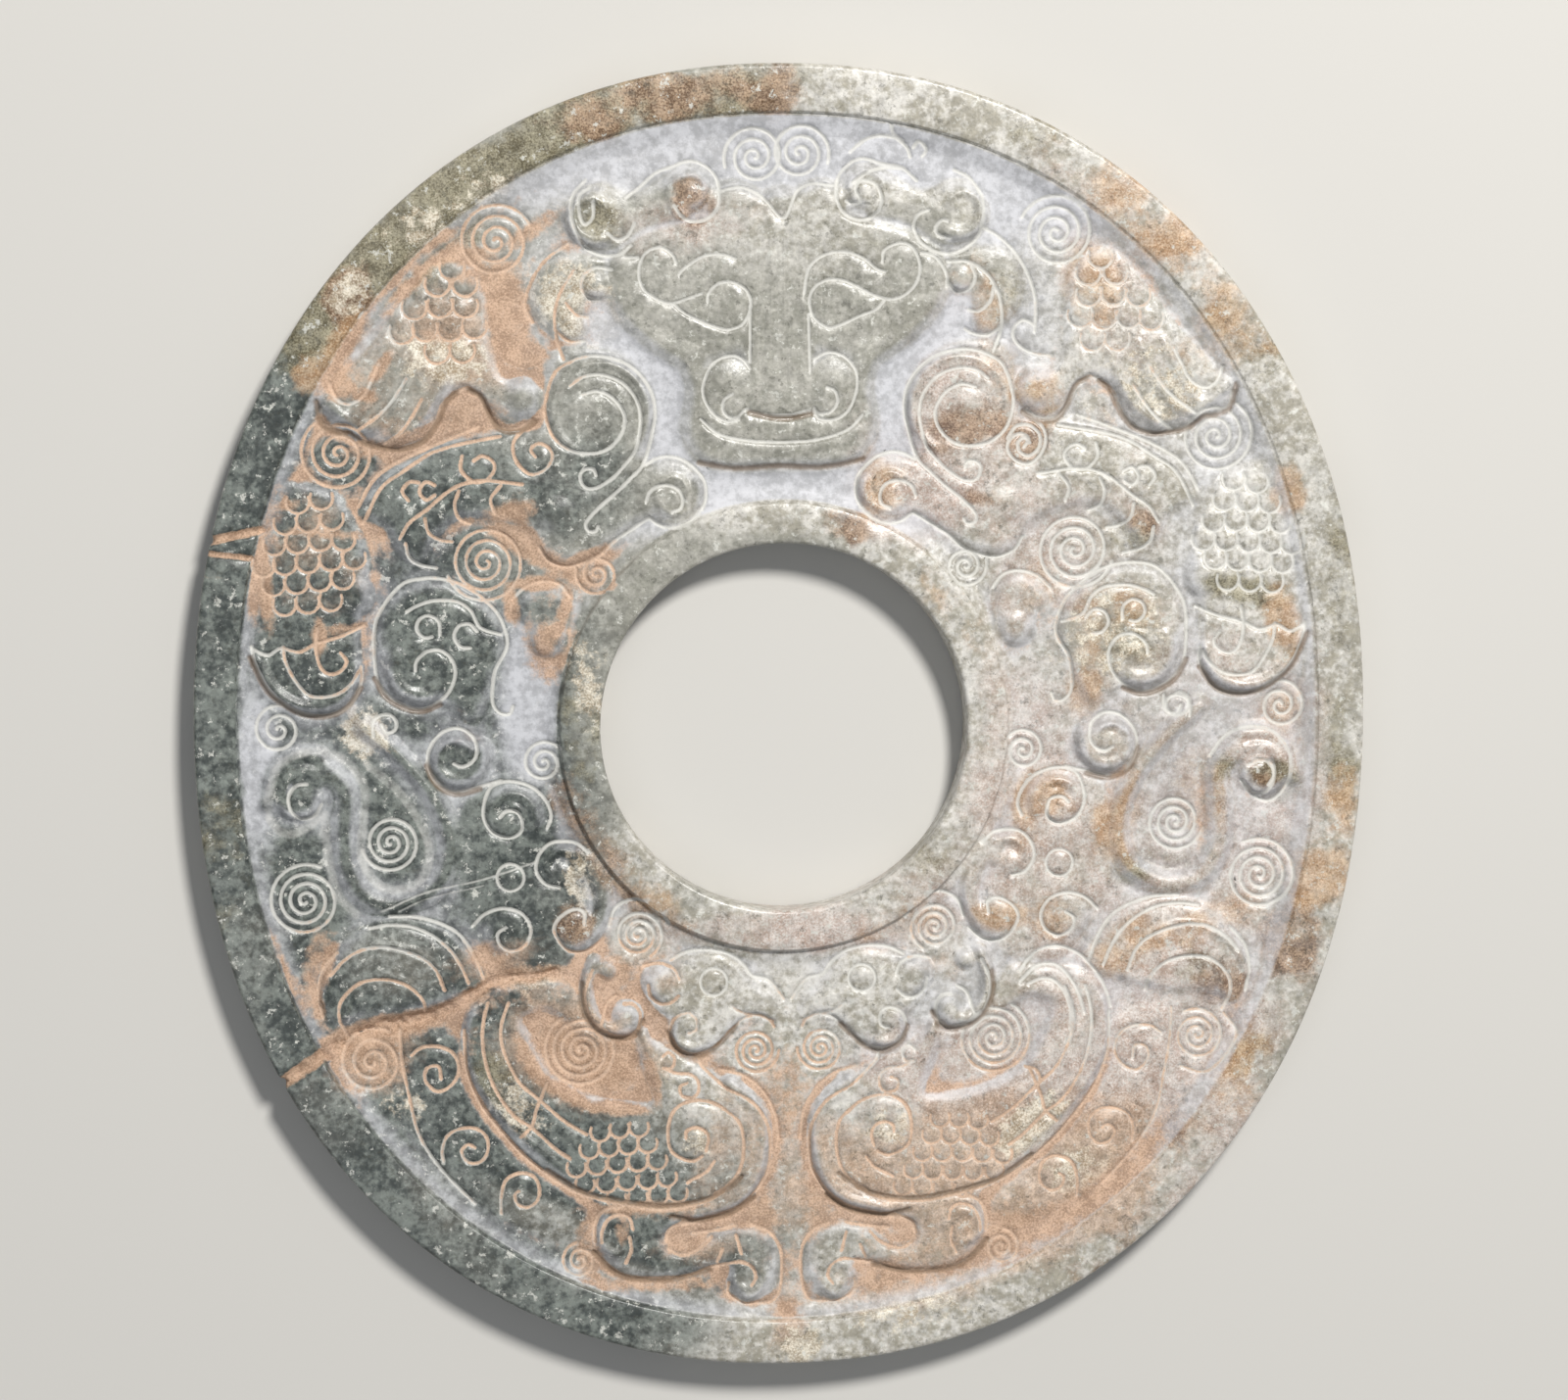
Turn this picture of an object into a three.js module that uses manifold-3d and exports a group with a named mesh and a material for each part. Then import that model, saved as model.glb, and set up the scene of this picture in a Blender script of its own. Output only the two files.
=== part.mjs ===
// A jade bi disc: a flat oval ring of nephrite, lying carved face up. Millimetres, +Z up.
// The origin is the centre of the flat underside, and +Y points to the beast mask.
// The disc is one stone. Its field is sunk between two plain rims, and the figures are what
// was left standing of the field: plates with sloping sides, raised scrolls and round bosses.
import * as THREE from "three";
import { mergeVertices } from "three/addons/utils/BufferGeometryUtils.js";
import Module from "manifold-3d";

const wasm = await Module();
wasm.setup();

// Driving dimensions of the disc
const discHalfWidth = 108.1;
const discHalfHeight = 120.2;
const ovalExponent = 2.13;
const discThickness = 9;
const edgeChamfer = 0.7;
const holeRadius = 33.9;
const holeCentreY = -1.3;
const innerRimRadius = 41.3;
const fieldHalfWidth = 100.1;
const fieldHalfHeight = 111.9;
const fieldCentreX = -0.5;
const fieldCentreY = -0.4;
const fieldDepth = 2;
const backFieldDepth = 0.4;
const ovalSides = 72;
const roundSides = 36;

// Driving dimensions of the relief, as heights above the sunk field
const plateRise = 1.2;
const scrollRise = 1.65;
const bossRise = 1.9;
const sideSlope = 0.75;
const facetLength = 5.4;
const scrollSidesPerTurn = 8;

// The right half repeats the left one, set a little higher and leaning out lower down
const mirrorLift = 0.038;
const mirrorLean = 0.027;

// The old crack across the lower left, and the notch in the left rim
const crackWidth = 2.4;
const crackDepth = 1;

const frontFloor = discThickness - fieldDepth;
const clearAbove = discThickness + 1;

// Closed three.js geometry to a manifold solid and back

function solidFrom(geometry) {
  const bare = geometry.index ? geometry.toNonIndexed() : geometry.clone();
  bare.deleteAttribute("normal");
  bare.deleteAttribute("uv");
  const merged = mergeVertices(bare, 1e-4);
  const corners = merged.index.array;
  const kept = [];
  for (let i = 0; i < corners.length; i += 3) {
    const [a, b, c] = corners.slice(i, i + 3);
    const isFlat = a === b || b === c || c === a;
    if (!isFlat) kept.push(a, b, c);
  }
  return new wasm.Manifold(new wasm.Mesh({
    numProp: 3,
    vertProperties: Float32Array.from(merged.attributes.position.array),
    triVerts: Uint32Array.from(kept),
  }));
}

function geometryFrom(solid) {
  const mesh = solid.getMesh();
  const geometry = new THREE.BufferGeometry();
  const positions = Float32Array.from(mesh.vertProperties);
  geometry.setAttribute("position", new THREE.BufferAttribute(positions, mesh.numProp));
  geometry.setIndex(new THREE.BufferAttribute(Uint32Array.from(mesh.triVerts), 1));
  geometry.computeVertexNormals();
  return geometry;
}

// Outlines

function ovalOutline(halfWidth, halfHeight, centreX = 0, centreY = 0) {
  const reach = (value) => Math.sign(value) * Math.abs(value) ** (2 / ovalExponent);
  return Array.from({ length: ovalSides }, (_, i) => {
    const angle = (2 * Math.PI * i) / ovalSides;
    return new THREE.Vector2(
      centreX + halfWidth * reach(Math.cos(angle)),
      centreY + halfHeight * reach(Math.sin(angle)),
    );
  });
}

function circleOutline(radius, centreX, centreY) {
  return Array.from({ length: roundSides }, (_, i) => {
    const angle = (2 * Math.PI * i) / roundSides;
    return new THREE.Vector2(
      centreX + radius * Math.cos(angle),
      centreY + radius * Math.sin(angle),
    );
  });
}

function smoothCurve(points, isClosed) {
  const corners = points.map(([x, y]) => new THREE.Vector3(x, y, 0));
  return new THREE.CatmullRomCurve3(corners, isClosed, "centripetal");
}

// A closed outline that runs smoothly through a few places on a figure's edge
function edgeOutline(points) {
  const curve = smoothCurve(points, true);
  const count = Math.max(8, Math.round(curve.getLength() / facetLength));
  const spaced = curve.getSpacedPoints(count).slice(0, count);
  return spaced.map((point) => new THREE.Vector2(point.x, point.y));
}

// The outline of a ribbon whose width is eased from one end of its path to the other
function ribbonAlong(path, startWidth, endWidth) {
  const left = [];
  const right = [];
  path.forEach((point, i) => {
    const before = path[Math.max(i - 1, 0)];
    const after = path[Math.min(i + 1, path.length - 1)];
    const along = new THREE.Vector2().subVectors(after, before).normalize();
    const half = THREE.MathUtils.lerp(startWidth, endWidth, i / (path.length - 1)) / 2;
    left.push(new THREE.Vector2(point.x - along.y * half, point.y + along.x * half));
    right.push(new THREE.Vector2(point.x + along.y * half, point.y - along.x * half));
  });
  return left.concat(right.reverse());
}

function ribbonOutline(points, startWidth, endWidth) {
  const curve = smoothCurve(points, false);
  const steps = Math.max(3, Math.round(curve.getLength() / facetLength));
  return ribbonAlong(curve.getSpacedPoints(steps), startWidth, endWidth);
}

// The path of a scroll that winds in: turns are counter-clockwise where positive
function scrollPath([x, y], outerRadius, innerRadius, startDegrees, turns) {
  const steps = Math.ceil(Math.abs(turns) * scrollSidesPerTurn);
  return Array.from({ length: steps + 1 }, (_, i) => {
    const t = i / steps;
    const angle = THREE.MathUtils.degToRad(startDegrees + 360 * turns * t);
    const radius = THREE.MathUtils.lerp(outerRadius, innerRadius, t);
    return [x + radius * Math.cos(angle), y + radius * Math.sin(angle)];
  });
}

function mirrored([x, y]) {
  return [-x - mirrorLean * y, y - mirrorLift * x];
}

// Solids

function slab(outline, hole, bottom, top) {
  const shape = new THREE.Shape(outline);
  if (hole) shape.holes.push(new THREE.Path(hole));
  const geometry = new THREE.ExtrudeGeometry(shape, { depth: top - bottom, bevelEnabled: false });
  return solidFrom(geometry.translate(0, 0, bottom));
}

// A slab whose walls lean in at both ends
function slopedSlab(outline, bottom, top, slope, slopeHeight) {
  const geometry = new THREE.ExtrudeGeometry(new THREE.Shape(outline), {
    depth: Math.max(0, top - bottom - 2 * slopeHeight),
    bevelEnabled: true,
    bevelThickness: slopeHeight,
    bevelSize: slope,
    bevelOffset: -slope,
    bevelSegments: 1,
  });
  return solidFrom(geometry.translate(0, 0, bottom + slopeHeight));
}

// Stands on the field with its walls sloping from the field to the top, and is as deep below
function raised(outline, rise, slope = sideSlope) {
  return slopedSlab(outline, frontFloor - rise, frontFloor + rise, slope, rise);
}

function sunk(outline, floor, slope = sideSlope) {
  return slopedSlab(outline, floor, clearAbove, slope, 0.5);
}

// A rounded boss standing on the field
function boss([x, y], radius, rise) {
  const sides = Math.max(8, Math.round(radius * 1.8));
  const profile = [
    new THREE.Vector2(0, -rise),
    new THREE.Vector2(radius, 0),
    new THREE.Vector2(0.74 * radius, 0.8 * rise),
    new THREE.Vector2(0, rise),
  ];
  const geometry = new THREE.LatheGeometry(profile, sides);
  geometry.rotateX(Math.PI / 2);
  geometry.translate(x, y, frontFloor);
  return solidFrom(geometry);
}

function joined(solids) {
  return solids.reduce((whole, solid) => whole.add(solid));
}

// The same figure on the left and on the right
function bothSides(makeSolid) {
  return [makeSolid((point) => point), makeSolid(mirrored)];
}

function platesOf(edges, rise = plateRise) {
  return edges.flatMap((edge) => bothSides((side) => raised(edgeOutline(edge.map(side)), rise)));
}

function scrollsOf(scrolls, rise = scrollRise) {
  return scrolls.flatMap(({ centre, outer, inner, start, turns, width, tip = width / 2 }) => {
    const path = scrollPath(centre, outer - width / 2, inner, start, turns);
    const onSide = (side) => path.map((point) => new THREE.Vector2(...side(point)));
    const slope = Math.min(sideSlope, 0.4 * tip);
    return bothSides((side) => raised(ribbonAlong(onSide(side), width, tip), rise, slope));
  });
}

function bossesOf(bosses, rise = bossRise) {
  return bosses.flatMap(([x, y, radius, lower = 0]) => (
    bothSides((side) => boss(side([x, y]), radius, rise - lower))
  ));
}

// The stone: an oval slab with chamfered edges, a round hole, and a sunk field on each face

function discBlank() {
  const flare = edgeChamfer + 1;
  const holeProfile = [
    new THREE.Vector2(0, -1),
    new THREE.Vector2(holeRadius + flare, -1),
    new THREE.Vector2(holeRadius, edgeChamfer),
    new THREE.Vector2(holeRadius, discThickness - edgeChamfer),
    new THREE.Vector2(holeRadius + flare, discThickness + 1),
    new THREE.Vector2(0, discThickness + 1),
  ];
  const hole = new THREE.LatheGeometry(holeProfile, roundSides);
  hole.rotateX(Math.PI / 2);
  hole.translate(0, holeCentreY, 0);
  const outer = ovalOutline(discHalfWidth, discHalfHeight);
  const field = ovalOutline(fieldHalfWidth, fieldHalfHeight, fieldCentreX, fieldCentreY);
  const innerRim = circleOutline(innerRimRadius, 0, holeCentreY);
  return slopedSlab(outer, 0, discThickness, edgeChamfer, edgeChamfer)
    .subtract(solidFrom(hole))
    .subtract(slab(field, innerRim, frontFloor, clearAbove))
    .subtract(slab(field, innerRim, -1, backFieldDepth));
}

// The beast mask: its left edge from the notch in the brow to the chin, and what stands on it

function beastMask() {
  const leftEdge = [
    [-0.6, 91.6], [-4, 95.4], [-8.5, 97.3], [-12.3, 96], [-13.2, 92.4], [-19, 90.4], [-26, 88],
    [-30.8, 84], [-31.6, 79.8], [-29.6, 74.2], [-24, 69], [-18.2, 65], [-16.9, 59.9],
    [-17.9, 54.1], [-16.4, 49.6], [-12.4, 47.2], [-5, 47],
  ];
  const rightEdge = leftEdge.slice(1).reverse().map(mirrored);
  const face = raised(edgeOutline(leftEdge.concat(rightEdge)), plateRise);
  const noseRidge = raised(ribbonOutline([[-0.8, 90], [-0.6, 75], [-0.5, 59]], 8.4, 8.8), 1.55);
  const lip = raised(
    ribbonOutline([[-14, 54.6], [-9, 51], [-0.3, 50.2], [8.4, 51.2], [12.6, 54.8]], 3.6, 3.6),
    scrollRise);
  const bosses = bossesOf([
    [-10.2, 76, 4.3, 0.3],
    [-21.6, 81.6, 4.8, 0.35],
    [-8.4, 94, 3.4, 0.2],
    [-10.6, 61.4, 4.7, 0],
    [-9, 57.4, 2.3, 0],
  ]);
  return joined([face, noseRidge, lip, ...bosses]);
}

// What frames the mask: horns, ears and the curls of the beard

function hornsAndEars() {
  const plates = platesOf([
    [[-13.4, 99.6], [-17.6, 101.8], [-22.6, 99.6], [-28, 96.6], [-33, 98.6], [-37.4, 97.6],
      [-38.8, 92.6], [-36.4, 87], [-31, 85.6], [-25, 89.6], [-18, 91.2], [-13.4, 94.2]],
    [[-31.8, 84.2], [-39, 85.8], [-44.6, 84.4], [-46.8, 79], [-45, 73.4], [-40.6, 69.6],
      [-36.8, 71], [-36.4, 76.4]],
  ], plateRise);
  const scrolls = scrollsOf([
    { centre: [-17.2, 96.6], outer: 5.2, inner: 1.3, start: 250, turns: -1.2, width: 2.6 },
    { centre: [-36, 93], outer: 5.6, inner: 2, start: 300, turns: -0.7, width: 3.2 },
  ]);
  const bosses = bossesOf([[-34.5, 79.8, 2.5, 0.1], [-17.2, 96.4, 2.4, 0]]);
  return joined([...plates, ...scrolls, ...bosses]);
}

// The upper beasts: one long body from the cheek scroll to the shoulder, with head and paw

function upperBeasts() {
  const plates = platesOf([
    [[-42.4, 67.6], [-36, 69], [-29, 66.6], [-24.2, 61], [-23.6, 53.6], [-25.2, 47.6],
      [-22, 48.4], [-17.4, 47.4], [-14.6, 42.6], [-16.6, 37.2], [-21, 35.6], [-25.6, 37],
      [-31, 33], [-36, 29.8], [-41, 29], [-44.8, 31], [-46.8, 34.4], [-52, 36.4], [-58.4, 37.4],
      [-63.4, 34], [-66.6, 28.6], [-70, 30], [-73.4, 35.4], [-78, 38], [-74.6, 44.4],
      [-66, 49.6], [-58, 53], [-51.6, 54], [-45.4, 54.4], [-44.6, 62]],
    [[-57.6, 83.8], [-64, 84], [-70, 77], [-75.4, 69.4], [-82.6, 62], [-84.8, 57], [-82, 53.8],
      [-76.6, 51.4], [-70, 50.4], [-65.4, 52.4], [-62.6, 58], [-58.4, 61], [-54.4, 57.4],
      [-50.6, 54], [-46, 55.6], [-44.4, 59.4], [-46.6, 63], [-51.6, 63.4], [-53.6, 69],
      [-54, 77]],
    [[-92.6, 44], [-85, 43.2], [-80.6, 40.6], [-76.6, 33], [-75.8, 24], [-77.4, 17.4],
      [-77.6, 8.6], [-81.6, 2.2], [-87, 1.4], [-93, 4.6], [-97.2, 11], [-97, 22], [-95.6, 35]],
    [[-75.2, 13], [-74.4, 20], [-69.4, 25.2], [-62.8, 26], [-56.6, 23.6], [-52, 18.4],
      [-51.2, 13], [-53.4, 6.4], [-57, -0.4], [-62, 2.6], [-67, 2.8], [-72.4, 5.6]],
    [[-49.8, 20.4], [-45.8, 25], [-41.2, 24.6], [-38.8, 20], [-40.2, 13], [-43.4, 11.6],
      [-46.8, 13.6], [-47.4, 17.6]],
  ]);
  const lobes = [
    [[-82.6, 58.4], [-78.4, 56], [-75, 60], [-72.4, 67]],
    [[-77.4, 53.6], [-73, 56], [-69.6, 61], [-67.6, 67]],
    [[-70.4, 52.4], [-66.6, 55.4], [-64, 60.6], [-62, 65]],
  ];
  const lobeScrolls = lobes.flatMap((path) => (
    bothSides((side) => raised(ribbonOutline(path.map(side), 4.6, 2.2), scrollRise))
  ));
  const scrolls = scrollsOf([
    { centre: [-34, 56.8], outer: 10.4, inner: 8, start: -60, turns: 0.95, width: 2.4 },
    { centre: [-20.2, 42], outer: 6, inner: 1.8, start: 20, turns: -1.1, width: 3 },
    { centre: [-66.4, 9.6], outer: 7.4, inner: 2, start: 150, turns: 1.25, width: 4 },
    { centre: [-86, 10.6], outer: 9.2, inner: 2.6, start: 165, turns: 1.1, width: 4.2 },
    { centre: [-60.2, -6.6], outer: 6.4, inner: 1.6, start: 20, turns: -1.3, width: 3.6 },
  ]);
  const bosses = bossesOf([
    [-35.2, 55.6, 6.2, 0.2],
    [-47.9, 59.1, 3.4, 0],
    [-41.7, 38.2, 3.8, 0],
    [-79, 23.2, 3.6, 0],
    [-43.2, 15.6, 3, 0],
    [-61.6, 74.6, 5.6, 0.3],
    [-87.4, 29.6, 6.4, 0.3],
  ]);
  return joined([...plates, ...lobeScrolls, ...scrolls, ...bosses]);
}

// Between the beasts: the tail that loops round a hollow, the leaf curls and the fan

function tailsAndLeaves() {
  const tail = [
    [-84.4, -8.6], [-80.8, -12.8], [-80.9, -20], [-80.4, -27], [-76.6, -32.6], [-70, -33.6],
    [-63.4, -29.6], [-61.6, -22], [-64.6, -13.6], [-71, -6], [-77.4, -0.6],
  ];
  const tails = bothSides((side) => raised(ribbonOutline(tail.map(side), 6, 3.6), plateRise));
  const fanEdge = [
    [-55.4, -48.6], [-58, -42], [-63, -37.2], [-70, -35.4], [-77.4, -37.4], [-83.4, -42.6],
    [-86, -49.4], [-83.6, -56.4], [-78, -54.6], [-67, -53.4],
  ];
  const fans = platesOf([fanEdge], 0.9);
  const fanRibs = scrollsOf([
    { centre: [-73.8, -54], outer: 8.6, inner: 7, start: 20, turns: 0.46, width: 2.2 },
    { centre: [-73.2, -53], outer: 13, inner: 12, start: 14, turns: 0.44, width: 2.4 },
  ], plateRise + 0.25);
  const scrolls = scrollsOf([
    { centre: [-88.6, -13.4], outer: 6.6, inner: 1.8, start: 40, turns: 1.2, width: 3.4 },
    { centre: [-50.6, -17.4], outer: 6.2, inner: 1.6, start: -20, turns: 1.3, width: 3 },
    { centre: [-41.4, -26.6], outer: 4.8, inner: 1.6, start: -20, turns: 0.9, width: 2.8 },
  ], plateRise + 0.2);
  const leafBand = [[-37.6, -24.6], [-34.4, -29], [-33.6, -35], [-35.6, -39.6]];
  const bands = bothSides((side) => (
    raised(ribbonOutline(leafBand.map(side), 4.4, 2.6), plateRise)
  ));
  const bosses = bossesOf([
    [-50.5, -28.8, 2.4, 0.6],
    [-51.4, -38.6, 4.4, 0.5],
    [-38.6, -38.6, 3.8, 0.5],
  ]);
  return joined([...tails, ...fans, ...fanRibs, ...scrolls, ...bands, ...bosses]);
}

// The lower beasts: body, scaled cheek and jaw in one plate, with the eye sunk through it

function lowerBeasts() {
  const plates = platesOf([
    [[-56.4, -50], [-60.2, -58], [-58.6, -66], [-54.6, -73.4], [-47.6, -81.4], [-40, -87],
      [-34.6, -90.4], [-35.8, -95.6], [-34, -99.6], [-29.6, -103.2], [-22, -104],
      [-14, -101.8], [-10.6, -102], [-10.6, -106], [-7.4, -108.6], [-3, -107.4], [-0.9, -102.6],
      [-2, -96.8], [-6.6, -94.2], [-12.6, -95], [-16.6, -98.6], [-20.6, -98.8], [-22, -96],
      [-18.6, -93.4], [-10.6, -91], [-5, -87], [-2.4, -80.6], [-3.4, -73.6], [-8, -69.2],
      [-14.4, -64.6], [-20, -61.4], [-25.4, -58.4], [-30.4, -59.2], [-35.4, -57],
      [-37.4, -51.6], [-41, -47.6], [-49, -47.8]],
    [[-24.4, -45], [-18.4, -43.8], [-12.6, -42.8], [-8, -45.4], [-5, -49], [-1.6, -52],
      [-1.4, -56.6], [-5, -54.9], [-9, -57], [-12.4, -60.8], [-17, -62], [-20.6, -60],
      [-21.4, -56.4], [-25.4, -52], [-26.4, -48]],
  ]);
  const eyeEdge = [
    [-49.4, -55.4], [-46, -53], [-39.4, -57.4], [-33, -61], [-27.6, -62], [-24.4, -66.4],
    [-24.2, -70.2], [-29, -72.2], [-36, -71.2], [-43, -67.4], [-47.6, -62],
  ];
  const eyes = bothSides((side) => sunk(edgeOutline(eyeEdge.map(side)), frontFloor + 0.1));
  const wings = [
    [[-57.4, -54.6], [-57.4, -63], [-53.6, -70.4], [-47, -77.4], [-39.6, -83.6]],
    [[-52.6, -53.6], [-52.6, -61.4], [-49, -68], [-43.6, -73.6]],
  ];
  const wingBands = wings.flatMap((path) => (
    bothSides((side) => raised(ribbonOutline(path.map(side), 3, 2), plateRise + 0.25))
  ));
  const scrolls = scrollsOf([
    { centre: [-16.6, -77], outer: 6.4, inner: 1.6, start: 40, turns: 1.25, width: 4 },
    { centre: [-31.2, -53], outer: 6.6, inner: 2.6, start: 110, turns: 0.85, width: 4.2 },
    { centre: [-17.4, -57.4], outer: 4.6, inner: 1.4, start: 300, turns: -1, width: 2.8 },
    { centre: [-31, -96.4], outer: 5.2, inner: 2, start: 20, turns: 0.75, width: 3.2 },
    { centre: [-7, -104], outer: 4.6, inner: 1.2, start: -90, turns: 1.2, width: 2.6 },
  ]);
  const bosses = bossesOf([
    [-13.1, -48.4, 2.5, 0.3],
    [-22.6, -48.8, 3.3, 0.2],
    [-16.4, -78.4, 2.8, 0],
    [-28, -82.2, 6.2, 0.3],
  ]);
  return joined([...plates, ...wingBands, ...scrolls, ...bosses])
    .subtract(joined(eyes));
}

// Old damage: a crack from the rim into the field, and a notch in the left rim

function damage() {
  const rimCrack = ribbonOutline([[-92.4, -66.2], [-88, -63], [-83.4, -60]], 0.8, crackWidth);
  const fieldCrack = ribbonOutline(
    [[-86, -61.4], [-77, -56.9], [-66.8, -54.7], [-56.8, -49.9], [-49, -47.6], [-43, -46.6]],
    crackWidth, 1.2);
  const rimNotch = ribbonOutline([[-105.4, 32.6], [-100.6, 32.5], [-96.4, 33]], 1.2, crackWidth);
  const slope = 0.35;
  return joined([
    sunk(rimCrack, discThickness - crackDepth, slope),
    sunk(fieldCrack, frontFloor - 0.2, slope),
    sunk(rimNotch, discThickness - crackDepth, slope),
  ]);
}

function jadeDisc() {
  const withinDisc = slopedSlab(
    ovalOutline(fieldHalfWidth, fieldHalfHeight, fieldCentreX, fieldCentreY),
    0, discThickness, 0.01, 0.01);
  const relief = joined([
    beastMask(), hornsAndEars(), upperBeasts(), tailsAndLeaves(), lowerBeasts(),
  ]);
  return discBlank().add(relief.intersect(withinDisc)).subtract(damage());
}

const jade = new THREE.MeshStandardMaterial({ color: 0x9fa596, roughness: 0.42, metalness: 0 });
const disc = new THREE.Mesh(geometryFrom(jadeDisc()), jade);
disc.name = "jade_disc";

const part = new THREE.Group();
part.add(disc);

export default part;
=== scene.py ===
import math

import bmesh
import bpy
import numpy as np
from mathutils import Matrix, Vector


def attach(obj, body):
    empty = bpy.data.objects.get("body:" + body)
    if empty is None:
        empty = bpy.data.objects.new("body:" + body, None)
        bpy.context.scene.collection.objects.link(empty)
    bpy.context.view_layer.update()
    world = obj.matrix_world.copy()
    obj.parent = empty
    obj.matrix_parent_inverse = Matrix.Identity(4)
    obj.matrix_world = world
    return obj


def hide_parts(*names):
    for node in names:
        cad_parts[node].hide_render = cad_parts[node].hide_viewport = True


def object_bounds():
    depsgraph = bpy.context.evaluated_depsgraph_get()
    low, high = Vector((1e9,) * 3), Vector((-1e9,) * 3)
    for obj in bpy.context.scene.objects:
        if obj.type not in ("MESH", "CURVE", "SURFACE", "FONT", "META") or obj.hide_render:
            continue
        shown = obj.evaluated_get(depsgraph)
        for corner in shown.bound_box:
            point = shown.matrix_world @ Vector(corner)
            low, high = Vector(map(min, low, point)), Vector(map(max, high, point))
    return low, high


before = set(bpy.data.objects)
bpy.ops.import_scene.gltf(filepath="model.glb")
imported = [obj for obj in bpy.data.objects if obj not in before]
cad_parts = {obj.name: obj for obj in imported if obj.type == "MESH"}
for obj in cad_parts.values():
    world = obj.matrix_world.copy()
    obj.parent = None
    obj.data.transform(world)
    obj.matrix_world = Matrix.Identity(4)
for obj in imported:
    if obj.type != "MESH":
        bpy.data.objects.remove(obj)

# %% [markdown]
# # A jade bi disc
# The disc is a flat ring of nephrite, a stone too hard for a knife. It was sawn from a boulder,
# drilled for the hole and ground with wet sand: first the two plain rims and the sunk field
# between them, then the figures, left standing about a millimetre and a half, and last the
# lines, cut with a small wheel. This lesson follows that order. Everything is in millimetres
# until the last step, because the carving is easier to read that way.

MM = 0.001
loaded_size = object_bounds()

THICKNESS = 9.0
FIELD_FLOOR = 7.0
BACK_FLOOR = 0.4
HOLE_RADIUS = 33.9
RING_RADIUS = 41.3
CENTRE_Y = -1.3
OUTER_HALF = (108.1, 120.2)
FIELD_HALF = (100.1, 111.9)
FIELD_CENTRE = (-0.5, -0.4)
# how much fuller than an ellipse, and how much more so at the upper right
OUTER_EXPONENT = (2.13, 0)
FIELD_EXPONENT = (2.12, 0.045)
# the slopes left where the field runs up to the two rims: height and width
OUTER_FILLET = (1.25, 4.6)
INNER_FILLET = (0.9, 3.4)
MIRROR_LIFT = 0.038
MIRROR_LEAN = 0.027

print("disc", [round(v / MM, 1) for v in (loaded_size[1] - loaded_size[0])], "mm")

# %% [markdown]
# ## A drawing board for the carver
# The relief is low and has no undercuts, so a height for each place on the face says it all.
# The board is a fine grid over the field. Raised forms are laid on it with the higher one
# winning, then the whole is softened as sand and wear soften stone, and the wheel-cut lines are
# taken out last so that they stay crisp. Other layers of the same board say where burial
# stained the stone.

# %% The board
CELL = 0.14
PILLOW_REACH = 6.5
FULL_DUST_DEPTH = 0.34
BOARD_X = np.arange(-108.5, 108.5, CELL)
BOARD_Y = np.arange(-120.5, 120.5, CELL)
SHAPE = (len(BOARD_Y), len(BOARD_X))
relief = np.zeros(SHAPE)
groove_depth = np.zeros(SHAPE)
groove_dust = np.zeros(SHAPE)
shaded = np.zeros(SHAPE)


def window(points, reach):
    """The part of the board within reach of some points: its slices and its coordinates."""
    x_lo, y_lo = points.min(axis=0) - reach
    x_hi, y_hi = points.max(axis=0) + reach
    columns = slice(*np.searchsorted(BOARD_X, (x_lo, x_hi)))
    rows = slice(*np.searchsorted(BOARD_Y, (y_lo, y_hi)))
    x, y = np.meshgrid(BOARD_X[columns], BOARD_Y[rows])
    return (rows, columns), x, y


def ease(value):
    """A smooth step from 0 to 1."""
    t = np.clip(value, 0, 1)
    return t * t * (3 - 2 * t)


def as_drawn(points):
    """The left half, where it was drawn."""
    return [tuple(p[:2]) for p in points]


def mirrored(points):
    """The right half repeats the left one, a little higher and leaning out lower down."""
    return [(-p[0] - MIRROR_LEAN * p[1], p[1] - MIRROR_LIFT * p[0]) for p in points]


BOTH = (as_drawn, mirrored)


def curve(points, closed=False, spacing=0.5):
    """A smooth path through a few points, as a carver's hand would join them."""
    p = np.array(points, dtype=float)
    if len(p) == 2:
        p = np.vstack([p[0], p.mean(axis=0), p[1]])
    ends = (p[-1:], p[:2]) if closed else (2 * p[:1] - p[1:2], 2 * p[-1:] - p[-2:-1])
    q = np.vstack([ends[0], p, ends[1]])
    steps = []
    for a, b, c, d in zip(q, q[1:], q[2:], q[3:]):
        count = max(2, int(np.hypot(*(c - b)) / spacing))
        t = np.linspace(0, 1, count, endpoint=False)[:, None]
        steps.append(0.5 * (2 * b + (c - a) * t + (2 * a - 5 * b + 4 * c - d) * t**2
                            + (3 * b - a - 3 * c + d) * t**3))
    steps.append(p[:1] if closed else p[-1:])
    return np.vstack(steps)


def distance_along(path, reach):
    """For short runs of a path: the window, the distance to it and how far along it is."""
    run = 6
    for first in range(0, len(path) - 1, run):
        part = path[first:first + run + 1]
        where, x, y = window(part, reach)
        if x.size == 0:
            continue
        nearest = np.full(x.shape, 1e9)
        along = np.zeros(x.shape)
        for i, (a, b) in enumerate(zip(part, part[1:])):
            step = b - a
            length = max(step @ step, 1e-12)
            t = np.clip(((x - a[0]) * step[0] + (y - a[1]) * step[1]) / length, 0, 1)
            gap = np.hypot(x - a[0] - t * step[0], y - a[1] - t * step[1])
            closer = gap < nearest
            nearest = np.where(closer, gap, nearest)
            along = np.where(closer, (first + i + t) / (len(path) - 1), along)
        yield where, nearest, along


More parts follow.
